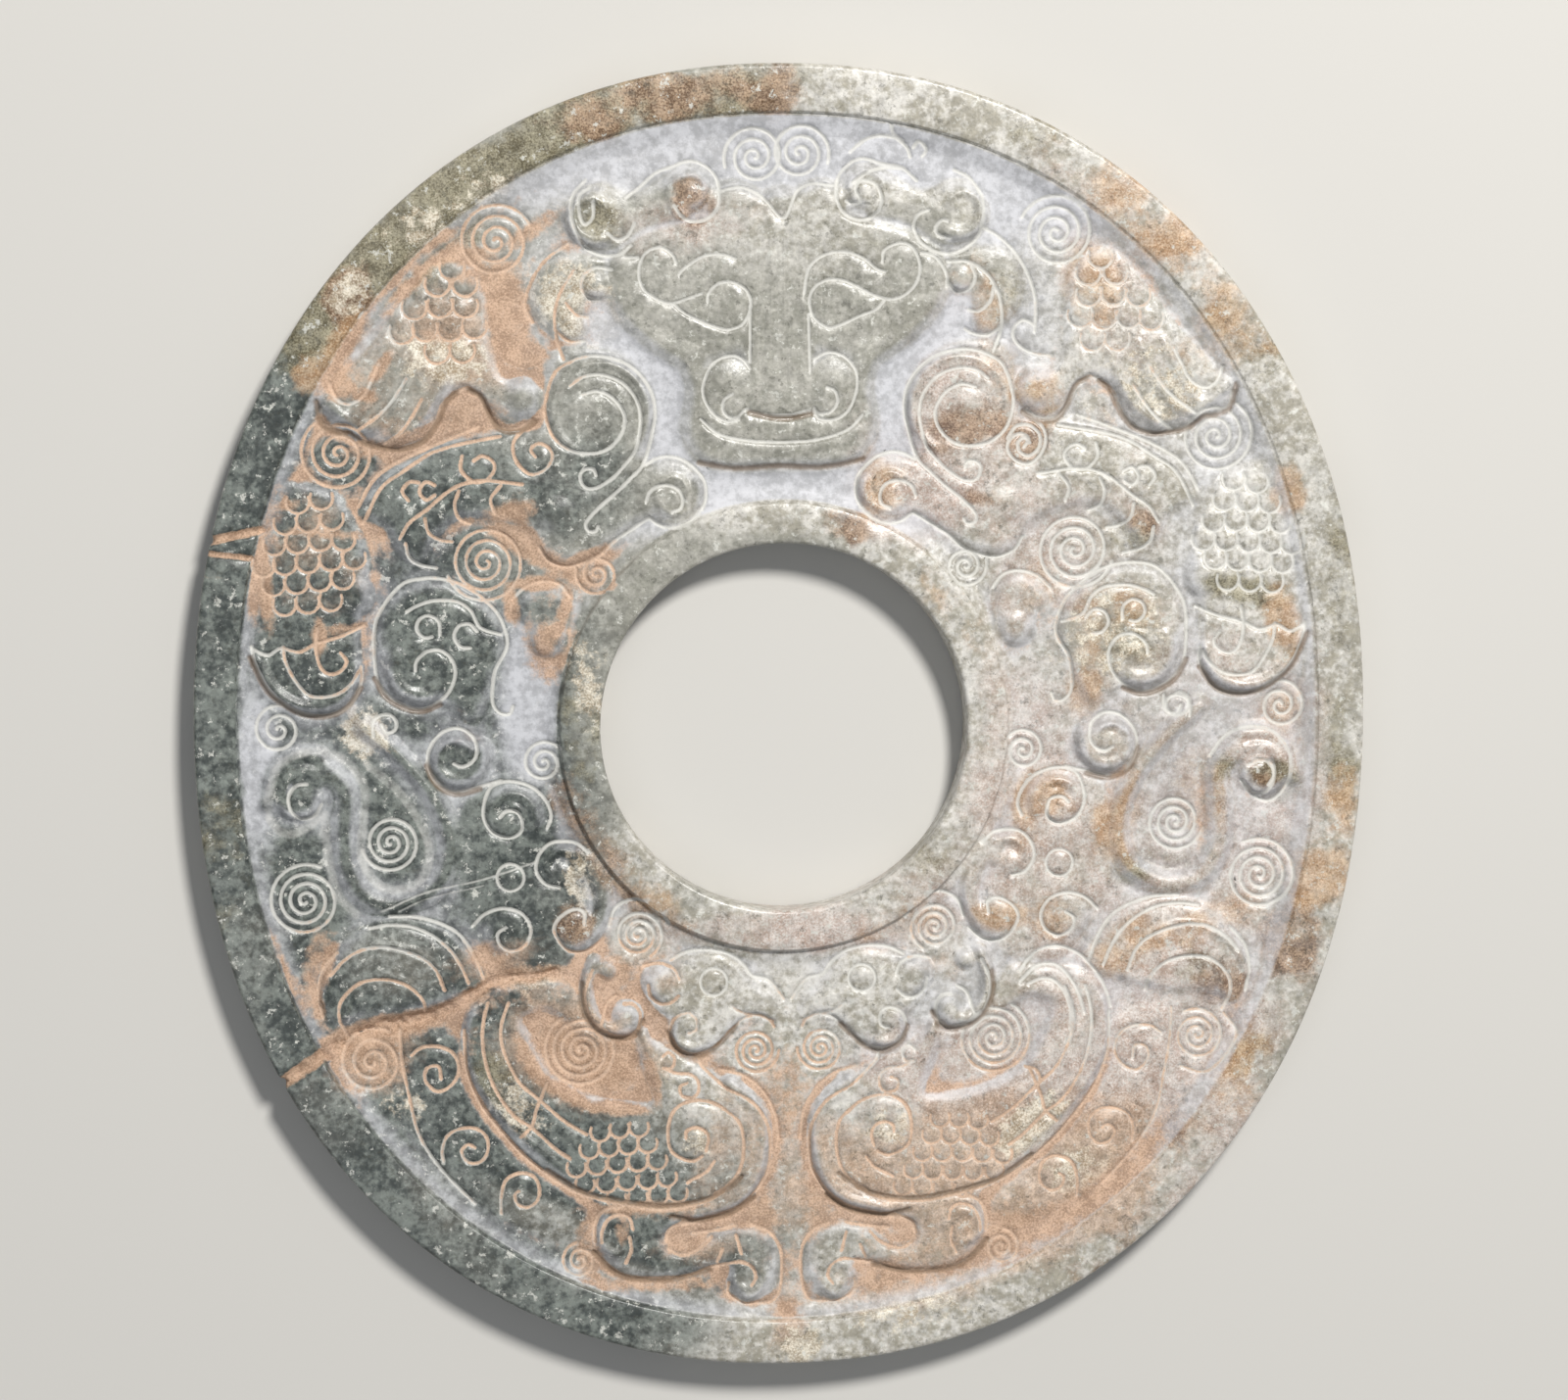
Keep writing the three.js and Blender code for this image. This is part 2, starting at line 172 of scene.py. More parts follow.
def inside_distance(outline, reach):
    """The window round a closed outline and the distance in from its edge, minus outside."""
    edge = curve(outline, closed=True, spacing=1.0)
    where, x, y = window(edge, reach)
    nearest = np.full(x.shape, 1e9)
    is_inside = np.zeros(x.shape, dtype=bool)
    for a, b in zip(edge, edge[1:]):
        step = b - a
        length = max(step @ step, 1e-12)
        t = np.clip(((x - a[0]) * step[0] + (y - a[1]) * step[1]) / length, 0, 1)
        gap = (x - a[0] - t * step[0]) ** 2 + (y - a[1] - t * step[1]) ** 2
        nearest = np.minimum(nearest, gap)
        if a[1] != b[1]:
            crosses = (a[1] > y) != (b[1] > y)
            is_inside ^= crosses & (x < a[0] + (y - a[1]) / step[1] * step[0])
    return where, np.where(is_inside, 1, -1) * np.sqrt(nearest)


def plate(outline, rise=0.85, foot=0.8, shoulder=1.5, pillow=0.45):
    """A flat form with sloping sides, a little fuller in the middle."""
    where, inside = inside_distance(outline, foot + 0.3)
    height = rise * ease((inside + foot) / (foot + shoulder))
    height += pillow * ease(inside / PILLOW_REACH)
    relief[where] = np.maximum(relief[where], height)


def hollow(outline, floor, foot=0.3, shoulder=1.2):
    """Ground sunk through a raised form down to a floor."""
    where, inside = inside_distance(outline, foot + 0.3)
    share = ease((inside + foot) / (foot + shoulder))
    relief[where] = relief[where] * (1 - share) + np.minimum(relief[where], floor) * share


def band(points, width, tip=None, rise=1.5, slope=1.0, sharp=False):
    """A raised ribbon with rounded shoulders, tapering from width to tip."""
    path = points if sharp else curve(points)
    tip = width if tip is None else tip
    for where, gap, along in distance_along(path, max(width, tip) / 2 + 0.5):
        half = (width + (tip - width) * along) / 2
        height = rise * ease((half + 0.25 - gap) / np.minimum(slope + 0.25, half))
        relief[where] = np.maximum(relief[where], height)


def scroll(centre, outer, inner, start, turns, width, tip=None, rise=1.65, sides=BOTH):
    """A raised band that winds in to a small eye."""
    t = np.linspace(0, 1, int(abs(turns) * 28) + 2)
    angle = np.radians(start + 360 * turns * t)
    radius = (outer - width / 2) * (1 - t) + inner * t
    path = np.column_stack([centre[0] + radius * np.cos(angle),
                            centre[1] + radius * np.sin(angle)])
    for side in sides:
        band(np.array(side(path)), width, width / 2 if tip is None else tip, rise, sharp=True)


def boss(centre, radius, rise):
    """A polished half-round knob."""
    where, x, y = window(np.array([centre]), radius + 0.3)
    gap = np.hypot(x - centre[0], y - centre[1]) / (radius + 0.2)
    height = rise * np.sqrt(np.clip(1 - gap**2, 0, 1)) ** 0.8
    relief[where] = np.maximum(relief[where], height)


def bosses(knobs):
    """Knobs on both sides, each given by its place, radius and height."""
    for x, y, radius, rise in knobs:
        for side in BOTH:
            boss(side([(x, y)])[0], radius, rise)


def cut(points, width=0.95, depth=0.4, sharp=False, closed=False, dust=1.0):
    """A line cut with the wheel, with a rounded bottom. Dust is how white it is filled.

    A faint line holds less dust. One without dust is an undercut edge that lies in shade, and the
    material lays a painted shade, mixed with darker soil, along it.
    """
    path = np.array(points) if sharp else curve(points, closed)
    for where, gap, along in distance_along(path, width):
        share = np.clip(1 - (gap / (width / 2)) ** 2, 0, 1)
        groove_depth[where] = np.maximum(groove_depth[where], depth * share)
        white = dust * min(1, (depth / FULL_DUST_DEPTH) ** 2)
        groove_dust[where] = np.maximum(groove_dust[where], ease(share * 1.2) * white)
        if dust == 0:
            shaded[where] = np.maximum(shaded[where], ease(share * 1.3))


def cut_both(lines, width=0.95, depth=0.44):
    """Lines drawn for the left half and repeated on the right."""
    for points in lines:
        for side in BOTH:
            cut(side(points), width, depth)


def ring_line(x, y, radius=2.5):
    """A round line about a knob, on both sides."""
    angle = np.radians(np.arange(0, 360, 30))
    ring = np.column_stack([x + radius * np.cos(angle), y + radius * np.sin(angle)])
    for side in BOTH:
        cut(side(ring), 0.8, 0.35, closed=True)


def spiral(centre, radius, turns, end, way=-1, width=0.92, sides=BOTH):
    """An even spiral line. Way 1 winds out counter-clockwise; end is the outer end's angle."""
    t = np.linspace(0.06, 1, int(turns * 34))
    angle = np.radians(end + way * 360 * turns * (t - 1))
    path = np.column_stack([centre[0] + radius * t * np.cos(angle),
                            centre[1] + radius * t * np.sin(angle)])
    for side in sides:
        cut(side(path), width, 0.4, sharp=True)


def scales(rows, radius=1.9, sides=BOTH):
    """Overlapping scales, each a little open arc with its round side down."""
    angle = np.radians(np.linspace(-205, 25, 12))
    for x, y in rows:
        arc = np.column_stack([x + radius * np.cos(angle), y + radius * np.sin(angle)])
        for side in sides:
            cut(side(arc), 0.75, 0.36, sharp=True)


print("board", SHAPE, "cells of", CELL, "mm")

# %% [markdown]
# ## The beast mask
# The mask is one flat plane, set off by a smooth pale valley round its cheeks. Its brow is
# notched and polished bright, the nose is filed with fine upright strokes, and the eyes are
# looped lines. The valley is wide, so this form gets a long foot; the nostrils and the lip are
# knobs and a band on top.

# %% Relief of the mask, the horns and the ears
FACE_LEFT = [
    (-0.6, 91.6), (-4, 95.4), (-8.5, 97.3), (-12.3, 96), (-13.2, 92.4), (-19, 90.4), (-26, 88),
    (-30.8, 84), (-31.6, 79.8), (-29.6, 74.2), (-24, 69), (-18.2, 65), (-16.9, 59.9),
    (-17.9, 54.1), (-16.4, 49.6), (-12.4, 47.2), (-5, 47),
]
face = FACE_LEFT + list(reversed(mirrored(FACE_LEFT[1:])))
plate(face, rise=1.3, foot=2.6, shoulder=1.1, pillow=0.1)
for side in BOTH:
    hollow(side([(-15.5, 68), (-7, 69.5), (-6, 64), (-7, 62), (-15.6, 62.6)]), 0.85, 0.8, 2.2)
    hollow(side([(-29, 79), (-27, 75.5), (-21, 73.5), (-12, 70.3), (-7.6, 70), (-8, 68),
                 (-17, 68), (-24, 71)]), 1.0, 1, 2.4)
band([(-0.8, 94), (-0.6, 75), (-0.5, 58)], 9, 10, rise=1.55, slope=2.2)
band([(-14.6, 53), (-9, 50.6), (-0.3, 49.8), (8.4, 50.8), (13.2, 53.4)], 4.6, rise=1.6,
     slope=1.8)
bosses([(-10.2, 76, 4.6, 1.5), (-22.2, 81.4, 5.2, 1.5), (-9.4, 94, 5, 1.6),
        (-10.6, 61.6, 5.1, 1.85), (-9, 57.5, 2.5, 1.9)])

horns = [
    (-13.4, 99.6), (-17.6, 101.8), (-22.6, 99.6), (-28, 96.6), (-33, 98.6), (-37.4, 97.6),
    (-38.8, 92.6), (-36.4, 87), (-31, 85.6), (-25, 89.6), (-18, 91.2), (-13.4, 94.2),
]
ears = [(-31.8, 84.2), (-39, 85.8), (-44.6, 84.4), (-46.8, 79), (-45, 73.4), (-40.6, 69.6),
        (-36.8, 71), (-36.4, 76.4)]
for side in BOTH:
    plate(side(horns), rise=0.8)
    plate(side(ears), foot=0.8, pillow=0.4)
bosses([(-34.5, 79.8, 2.6, 1.75), (-17.2, 96.2, 3.1, 1.9)])
scroll((-17.2, 96.6), 5.6, 1.9, 250, -1.1, 2.8)
scroll((-35, 92.4), 6.4, 2.6, 300, -0.8, 3.6)
print("mask up to", round(float(relief.max()), 2), "mm above the field")

# %% Lines of the mask
mask_lines = [
    [(-8.9, 84.6), (-11.4, 85.4), (-15, 85), (-18.5, 82.7), (-19.3, 81.7)],
    [(-19.8, 83.8), (-20.6, 85.4), (-22.7, 86.7), (-25.2, 85.8), (-26.4, 83.8), (-26.6, 81.3),
     (-25.8, 79), (-23.1, 77.1), (-20.6, 76.5), (-16.8, 77.7), (-15.2, 78.3)],
    [(-20.4, 76.5), (-18.5, 74.8), (-15, 73.1), (-12.3, 72.1), (-10.2, 71.7), (-7.7, 72.7),
     (-6.4, 75), (-6.2, 77.1), (-7.3, 79.2), (-9.8, 80.4), (-12.3, 80), (-13.9, 78.3),
     (-14.1, 76.7)],
    [(-6.3, 76), (-6.3, 65.8)],
    [(-26.8, 84.8), (-29.3, 84.8)],
    [(3.6, 78.3), (4.3, 82.5), (6.3, 84.8), (9.3, 85.9), (12.6, 85.6), (15.1, 84.4),
     (16.8, 82.9), (18.4, 82.3)],
    [(18, 84.2), (18.4, 86.3), (21.3, 87.6), (23.4, 86.9), (24.7, 84.6), (24.9, 82.1),
     (23.8, 79.6), (21.8, 77.9), (19.3, 77.3), (16.3, 78.1), (13.4, 79.6), (10.5, 80.8),
     (8, 80.8), (5.9, 79.8), (4.7, 77.9), (4.7, 75.8), (5.5, 73.8), (8, 72.1), (10.1, 72.5),
     (13.8, 74.2), (16.8, 75.4), (18.4, 77.1)],
    [(4.4, 74.5), (4.7, 64.2)],
    [(25.1, 85.8), (27.2, 85.4), (28.8, 83.8), (29.9, 81.7), (29.9, 79.6)],
    [(-6.3, 64.5), (-7.5, 66.2), (-9.6, 67), (-12.1, 66.2), (-13.8, 64.5), (-15, 61.2),
     (-14.6, 58.7), (-12.9, 56.2), (-10.4, 54.9), (-8.3, 55.3)],
    [(5.5, 66.3), (8, 67.6), (10.9, 66.9), (13, 64.6), (13.4, 62.8), (13.2, 60.3), (11.8, 57),
     (9.3, 55.3), (6.3, 55.5), (5.5, 57.4)],
    [(-9.5, 60), (-11, 59), (-11.4, 57.4), (-10.6, 56), (-8.8, 55.6), (-7.1, 57.2),
     (-5.4, 56.5), (-2, 56.1), (1.3, 56.2), (4.7, 57), (6.6, 56.4), (8.6, 56.8), (9.8, 58.6),
     (9.2, 60.6), (7.8, 61.2)],
    [(-15.4, 55.4), (-12, 52.6), (-6, 51.4), (0, 51.2), (6, 51.6), (11.6, 53.4), (14.4, 56.2)],
    [(-12.3, 96.7), (-8, 97.6), (-4, 95.8), (-0.2, 92), (2.2, 96.7), (5.1, 98.3), (8.8, 98)],
]
for points in mask_lines:
    cut(points, 0.8, 0.36)
# the file strokes down the nose run in two passes from its left side to its right
rng = np.random.default_rng(7)
NOSE_LEFT, NOSE_WIDTH, NOSE_END = -4.9, 8.9, 59
FILE_STROKES = 34
for i in range(FILE_STROKES):
    x = NOSE_LEFT + NOSE_WIDTH * (i % 17) / 16 + rng.normal(0, 0.15)
    top = rng.uniform(74, 91)
    foot = (x + rng.normal(0, 0.15), max(NOSE_END, top - rng.uniform(7, 20)))
    cut([(x, top), foot], 0.42, rng.uniform(0.05, 0.13))
# the same file left a few short strokes beside the eyes
for x, y, run in [(-11.6, 76.4, 5), (-23, 82, 4), (8.6, 77, 5), (21.6, 83, 4), (-14, 83, 3)]:
    for i in range(run):
        cut([(x + 0.8 * i - 1.6, y + 2.4), (x + 0.8 * i - 1.7, y - 2.2)], 0.4, 0.07)
print("mask lines", len(mask_lines), "and file strokes", FILE_STROKES)

# %% Lines of the horns and the ears
horn_lines = [
    [(-20.2, 94.2), (-18.9, 92.4), (-16.9, 91.4), (-14.2, 91.8), (-12.3, 93.8), (-11.9, 96.6),
     (-12.6, 99.6), (-14.8, 101.7), (-17.5, 102.4), (-20.6, 101.3), (-23.5, 100.2),
     (-26.4, 97.6), (-29, 95.6)],
    [(-36.2, 98.9), (-38.5, 96.2), (-39, 93), (-38.2, 89.6), (-36.2, 86.6), (-33.5, 85.2),
     (-30, 85.4), (-28, 87)],
    [(-35.4, 97.6), (-37.4, 96), (-37.5, 93), (-36.6, 90.8), (-35, 92), (-34.9, 95)],
    [(-27.4, 91), (-28.6, 88.8), (-30.6, 88), (-32.4, 89.2)],
    [(11.3, 95.2), (12.8, 94.8), (13.9, 95.2), (13, 97.4), (14.2, 98.9), (16.6, 98.2),
     (17.8, 96), (17.2, 93.4), (15, 91.8), (12.6, 92), (10.4, 93.6), (9.4, 96.4), (10, 99.6),
     (12, 102), (14.6, 103), (18, 102), (21.6, 101.4), (24.4, 99)],
    [(12.6, 98.6), (15.4, 100.5), (18.6, 101.3), (21.4, 101.2)],
    [(31.3, 101), (34.2, 99.4), (36.3, 96), (36.5, 92), (35.6, 88.8), (33.4, 86.6),
     (30.5, 85.6), (27.4, 86.2), (24.8, 88), (23.8, 90.6), (24.6, 92.8), (26.6, 93.6)],
    [(30.4, 88.6), (28.4, 89), (27.8, 90.4), (29, 91.8), (30, 91.6)],
    [(12.2, 104.2), (14.7, 106.3), (17.6, 107.2), (20.5, 106.7), (22.6, 105), (23.2, 103.3)],
    [(19.6, 109.4), (20, 107.6), (21.8, 106.2)],
    [(23.8, 105), (24.6, 106.2), (25.6, 105.6), (26.2, 104.4), (25.4, 103.4)],
    [(-31.6, 82.6), (-34.6, 83), (-36.8, 81.4), (-37, 79), (-35.8, 77.4), (-34, 77.2)],
    [(-38.5, 82.5), (-41, 78.3), (-42, 74.2), (-41.6, 70), (-40.4, 66.3)],
    [(-39.3, 87.4), (-43.5, 84.4), (-46.2, 80.4), (-47.4, 76.3), (-46, 73)],
    [(-40, 76.6), (-38, 74.4), (-36, 74)],
    [(-41.6, 71.4), (-39.4, 69.6), (-36.6, 69.6)],
    [(30.1, 84.2), (33.8, 84.2), (37.2, 82.1), (39.3, 78.8), (40.1, 75), (39.9, 71.3),
     (38.6, 67.9)],
    [(29.9, 80.6), (31.6, 78.8), (34, 79.2), (35.2, 81.4), (34.4, 83.6)],
    [(38.6, 80), (38, 77.1), (35.9, 75.2), (34, 75.4)],
    [(39.7, 72.1), (37.6, 70.8), (35.1, 71), (33.4, 71.9)],
    [(36.1, 90.8), (39.7, 88.8), (42.6, 85.8), (45.1, 81.7), (46.3, 77.9), (46.5, 74.2),
     (46.3, 71.5)],
    [(46.3, 72.6), (44.3, 73.6), (42.6, 72.3), (42.4, 70.4), (44, 68.4), (46.8, 67.3),
     (49.3, 67.1)],
]
for points in horn_lines:
    cut(points)
print("horn and ear lines", len(horn_lines))

# %% [markdown]
# ## The beasts round the rim
# A pair of long-bodied beasts coils down each side of the disc, and a pair of heads faces each
# other below the hole. Their limbs end in round lobes and tight volutes with a polished knob.
# The left half is drawn and repeated on the right with the carver's small lift and lean, as on
# the stone.

# %% Relief of the upper beasts
upper_plates = [
    [(-42.4, 67.6), (-36, 69), (-29, 66.6), (-24.2, 61), (-23.6, 53.6), (-25.2, 47.6),
     (-22, 48.4), (-17.4, 47.4), (-14.6, 42.6), (-16.6, 37.2), (-21, 35.6), (-25.6, 37),
     (-31, 33), (-36, 29.8), (-41, 29), (-44.8, 31), (-46.8, 34.4), (-52, 36.4),
     (-58.4, 37.4), (-63.4, 34), (-66.6, 28.6), (-70, 30), (-73.4, 35.4), (-78, 38),
     (-74.6, 44.4), (-66, 49.6), (-58, 53), (-51.6, 54), (-45.4, 54.4), (-44.6, 62)],
    [(-57.6, 83.8), (-64, 84), (-70, 77), (-75.4, 69.4), (-82.6, 62), (-84.8, 57),
     (-82, 53.8), (-76.6, 51.4), (-70, 50.4), (-65.4, 52.4), (-62.6, 58), (-58.4, 61),
     (-54.4, 57.4), (-50.6, 54), (-46, 55.6), (-44.4, 59.4), (-46.6, 63), (-51.6, 63.4),
     (-53.6, 69), (-54, 77)],
    [(-92.6, 44), (-85, 43.2), (-80.6, 40.6), (-76.6, 33), (-75.8, 24), (-77.4, 17.4),
     (-77.6, 8.6), (-81.6, 2.2), (-87, 1.4), (-93, 4.6), (-97.2, 11), (-97, 22),
     (-95.6, 35)],
    [(-75.2, 13), (-74.4, 20), (-69.4, 25.2), (-62.8, 26), (-56.6, 23.6), (-52, 18.4),
     (-51.2, 13), (-53.4, 6.4), (-57, -0.4), (-62, 2.6), (-67, 2.8), (-72.4, 5.6)],
    [(-49.8, 20.4), (-45.8, 25), (-41.2, 24.6), (-38.8, 20), (-40.2, 13), (-43.4, 11.6),
     (-46.8, 13.6), (-47.4, 17.6)],
]
lobes = [
    [(-83.2, 58.6), (-79, 55.4), (-75, 59.6), (-72, 67)],
    [(-78, 53.8), (-73.4, 55.4), (-69.4, 61), (-67.4, 67)],
    [(-70.6, 52.4), (-66.6, 55.2), (-63.6, 60.6), (-61.8, 66)],
]
for side in BOTH:
    for outline in upper_plates:
        plate(side(outline))
    for path in lobes:
        band(side(path), 5.2, 3, rise=1.75, slope=2.2)
    band(side([(-96.5, 12), (-93, 5.6), (-87, 2.8), (-81, 4.6), (-78.6, 10)]), 4.6, 3.4,
         rise=1.7, slope=2)
bosses([(-35.2, 55.6, 6.6, 1.6), (-47.9, 59.1, 3.7, 1.85), (-41.7, 38.2, 4.1, 1.85),
        (-79, 23.2, 3.9, 1.85), (-43.2, 15.4, 3.4, 1.85), (-61.6, 74.6, 6, 1.55),
        (-87.4, 29.6, 7, 1.55), (-65.2, 10, 3.4, 1.75), (-59.8, -6.9, 3, 1.75),
        (-20.6, 41, 3, 1.6)])
scroll((-34, 56.8), 10.6, 8.2, -60, 0.95, 2.8)
scroll((-20.2, 42), 6, 2.2, 20, -1.1, 3)
scroll((-66.4, 9.6), 7.6, 2.6, 150, 1.25, 4.2)
scroll((-60.2, -6.6), 6.6, 2.2, 20, -1.3, 3.8)
print("upper beasts", len(upper_plates), "plates and", len(lobes), "lobes a side")

# %% Lines of the upper beasts
upper_lines = [
    [(-36.9, 59.9), (-34.2, 60.5), (-31.3, 59.1), (-29.4, 56.2), (-29.6, 53.3), (-31.3, 50.8),
     (-33.3, 49.5), (-35.8, 49.1), (-39.2, 49.7), (-42.1, 51.8), (-43.5, 54.9), (-43.8, 58.3),
     (-42.1, 63.7), (-39.2, 65.8), (-36.3, 66.8), (-33.3, 66.8), (-29.6, 65.8), (-26.7, 63.7),
     (-24.6, 60.8), (-23.8, 57.8), (-24, 54), (-25.8, 47.4), (-28.3, 44.5), (-30.8, 42),
     (-33.3, 39.9), (-35.4, 37.8), (-36.5, 36.2), (-36, 34.9), (-34.6, 34.9), (-34.2, 35.8)],
    [(-39.2, 61.4), (-37.1, 63), (-33.8, 63.5), (-30, 62.2), (-27.5, 59.5), (-26.5, 56.6),
     (-26.5, 53.3), (-27.5, 49.5), (-29.6, 46.6), (-31.7, 44.5), (-34.6, 42.8), (-36.7, 43),
     (-37.5, 44.9), (-36.7, 46.2), (-35, 46.2), (-34.6, 45.1)],
    [(-25.4, 40.3), (-24.6, 42.2), (-22.5, 43.3), (-20, 42.8), (-18.8, 41.2), (-19, 39.1),
     (-20.6, 38.3)],
    [(-25.4, 47), (-23.3, 48.2), (-20.8, 48.5), (-17.9, 47.5), (-15.2, 44.9), (-14.4, 42),
     (-15, 39.1), (-17.4, 36.4), (-20, 35.5), (-22.6, 35.8), (-24.8, 37.3)],
    [(-25, 37.2), (-28.3, 35), (-31.3, 33), (-33.8, 30.5), (-36.7, 29.2), (-40, 28.4),
     (-43.3, 29.5), (-45, 32)],
    [(-46.3, 55.3), (-48.8, 53.7), (-51.7, 53.7), (-53.8, 55.3), (-55.8, 59.5), (-57.9, 61.2)],
    [(-45.6, 48.5), (-46.5, 49.9), (-45, 51), (-43.1, 50.1), (-42.5, 48.3), (-43.8, 46.2),
     (-46.3, 45.3), (-48.3, 46.6), (-49.6, 49), (-49.4, 51.6), (-47.5, 53.7), (-45.8, 54.9)],
    [(-56.9, 47.8), (-55.4, 48.7), (-53.5, 47.8), (-53.1, 46.2), (-54.6, 44.3), (-57.1, 44.1),
     (-59.2, 46.2), (-59, 48.7)],
    [(-64, 41.6), (-65.6, 40.7), (-66.8, 42.3), (-65.6, 44), (-64, 43.4)],
    [(-66.9, 43.9), (-68.6, 44), (-69.9, 42.3), (-68.8, 40.6)],
    [(-77.9, 39.4), (-75.4, 44), (-72.5, 46.5), (-67.9, 49), (-60, 52.3), (-55.8, 54)],
    [(-77, 36.5), (-73.8, 42.8), (-70, 45.7), (-65, 49), (-60, 50.7), (-52, 52.3)],
    [(-70.4, 33.6), (-68.6, 36.6), (-65.4, 39), (-62, 41.9), (-58.8, 43.6), (-54.6, 44.2),
     (-48, 43.5)],
    [(-59.6, 42.3), (-60.4, 39.8), (-59.6, 37.3), (-57.5, 36.3)],
    [(-52, 43.3), (-53.8, 40.8), (-53.1, 38.3)],
    [(-65.8, 37.3), (-65.2, 34.8), (-63.3, 33.4), (-60.8, 33)],
    [(-69.4, 32.8), (-68.8, 30.3), (-66.7, 28.8), (-63.8, 28.2)],
    [(-84.6, 57.3), (-84.2, 54.8), (-81.7, 53.4), (-79.2, 53)],
    [(-82.9, 61.9), (-81.7, 59), (-79.2, 58.2), (-76.7, 59.8), (-75.4, 62.3), (-73.8, 65.7)],
    [(-77.9, 53.4), (-74.6, 55.7), (-71.7, 58.6), (-69, 62.8)],
    [(-76.7, 51.3), (-73.8, 50.5)],
    [(-72.9, 50.9), (-70, 53.2), (-67.9, 56.1), (-66.3, 59)],
    [(-70, 50.1), (-66.3, 51.5), (-63.8, 54.8), (-62.5, 58.2), (-60, 60.3), (-57.9, 61.3)],
    [(-97.5, 14), (-96.7, 10.8), (-94.6, 6.6), (-91.7, 3.7), (-88.3, 1.8), (-85, 1.3),
     (-81.7, 1.8), (-79.2, 3.9), (-77.6, 7.4), (-77.7, 10.3)],
    [(-91.7, 14), (-91.3, 11.2), (-89.6, 7.8), (-87.5, 5.3), (-85, 4.7), (-81.7, 5.3),
     (-79.2, 7.4), (-78.1, 9.5)],
    [(-85.4, 17.4), (-85.8, 13.7), (-85, 10.3), (-83.3, 8.9), (-81.3, 9.5), (-80.2, 11.2),
     (-81.3, 12.8)],
    [(-97.5, 13.7), (-94.6, 12.4), (-92.1, 13.7), (-88.8, 13), (-85.8, 14.5), (-80.8, 16),
     (-77.1, 17.8)],
    [(-75.2, 12.4), (-74.7, 19), (-70.5, 24.9), (-66.3, 26.3), (-62.1, 26.1), (-57.9, 24.5),
     (-54.1, 21.5), (-51.9, 18.5), (-50.9, 14), (-53.1, 9.5), (-53.7, 5.3), (-53.4, 2.8),
     (-52, 1.4), (-50.4, 1.4), (-49.9, 2.8)],
    [(-69.2, 20.3), (-67.5, 21.3), (-64.2, 22.3), (-60, 22.1), (-57.5, 20.3), (-55.8, 17.3),
     (-52.1, 16)],
    [(-75.4, 15.8), (-74.8, 8.3), (-73, 5.1), (-70, 3.1), (-66.7, 2.3), (-63.8, 3.5),
     (-61.5, 5.7), (-60.4, 9.1), (-61.3, 11.8), (-63.3, 13.2), (-65.8, 12.9), (-67.5, 11.2),
     (-67.7, 9.5)],
    [(-64.6, 15.7), (-66, 15.5), (-67.4, 16.9), (-67, 18.8), (-65.2, 19.6), (-63.4, 18.4),
     (-63.2, 16)],
    [(-57.6, 13.6), (-59.4, 13.8), (-60.6, 15.6), (-59.8, 17.6), (-57.8, 18), (-56.4, 16.6)],
    [(-60.8, -7.6), (-59.2, -8.2), (-57.3, -7.2), (-56.5, -5.1), (-57.5, -2.6), (-60, -1.2),
     (-62.9, -2), (-65, -4.5), (-65.6, -7.2), (-64.8, -10.2), (-62.6, -12.4), (-60, -13),
     (-56.3, -12.1), (-52.1, -10.9)],
    [(-50, 22.4), (-47.5, 24.7), (-44.2, 25.7), (-41.3, 25.1), (-39.4, 22.8)],
    [(-74, -0.5), (-73.2, -2), (-71.6, -1.6), (-71.2, -0.2), (-72.2, 1.2), (-74.2, 1.2),
     (-75.6, -0.2), (-75.4, -2.6)],
]
cut_both(upper_lines)
scales([(-63.3, 80), (-58.3, 80), (-67.5, 75.8), (-62.8, 76.2), (-58.2, 76.2), (-65.6, 71.9),
        (-61, 71.9), (-69.8, 71.4), (-60.6, 83), (-56.6, 72.4), (-63.4, 67.8), (-58.8, 68)],
       radius=2.3)
scales([(-84.6, 41.1), (-88.9, 40.4), (-82.7, 37.4), (-87, 37), (-91.2, 36.6), (-84.8, 33.6),
        (-89, 33.2), (-93.2, 32.8), (-80.6, 33.6), (-82.9, 30), (-87.1, 29.6), (-91.3, 29.2),
        (-78.7, 30.2), (-85, 26.2), (-89.2, 25.8), (-93.4, 25.4), (-80.8, 26.6),
        (-87.2, 22.2), (-91.4, 21.8), (-83, 22.6), (-95.2, 28.8)], radius=2.1)
print("upper beast lines", len(upper_lines), "a side")

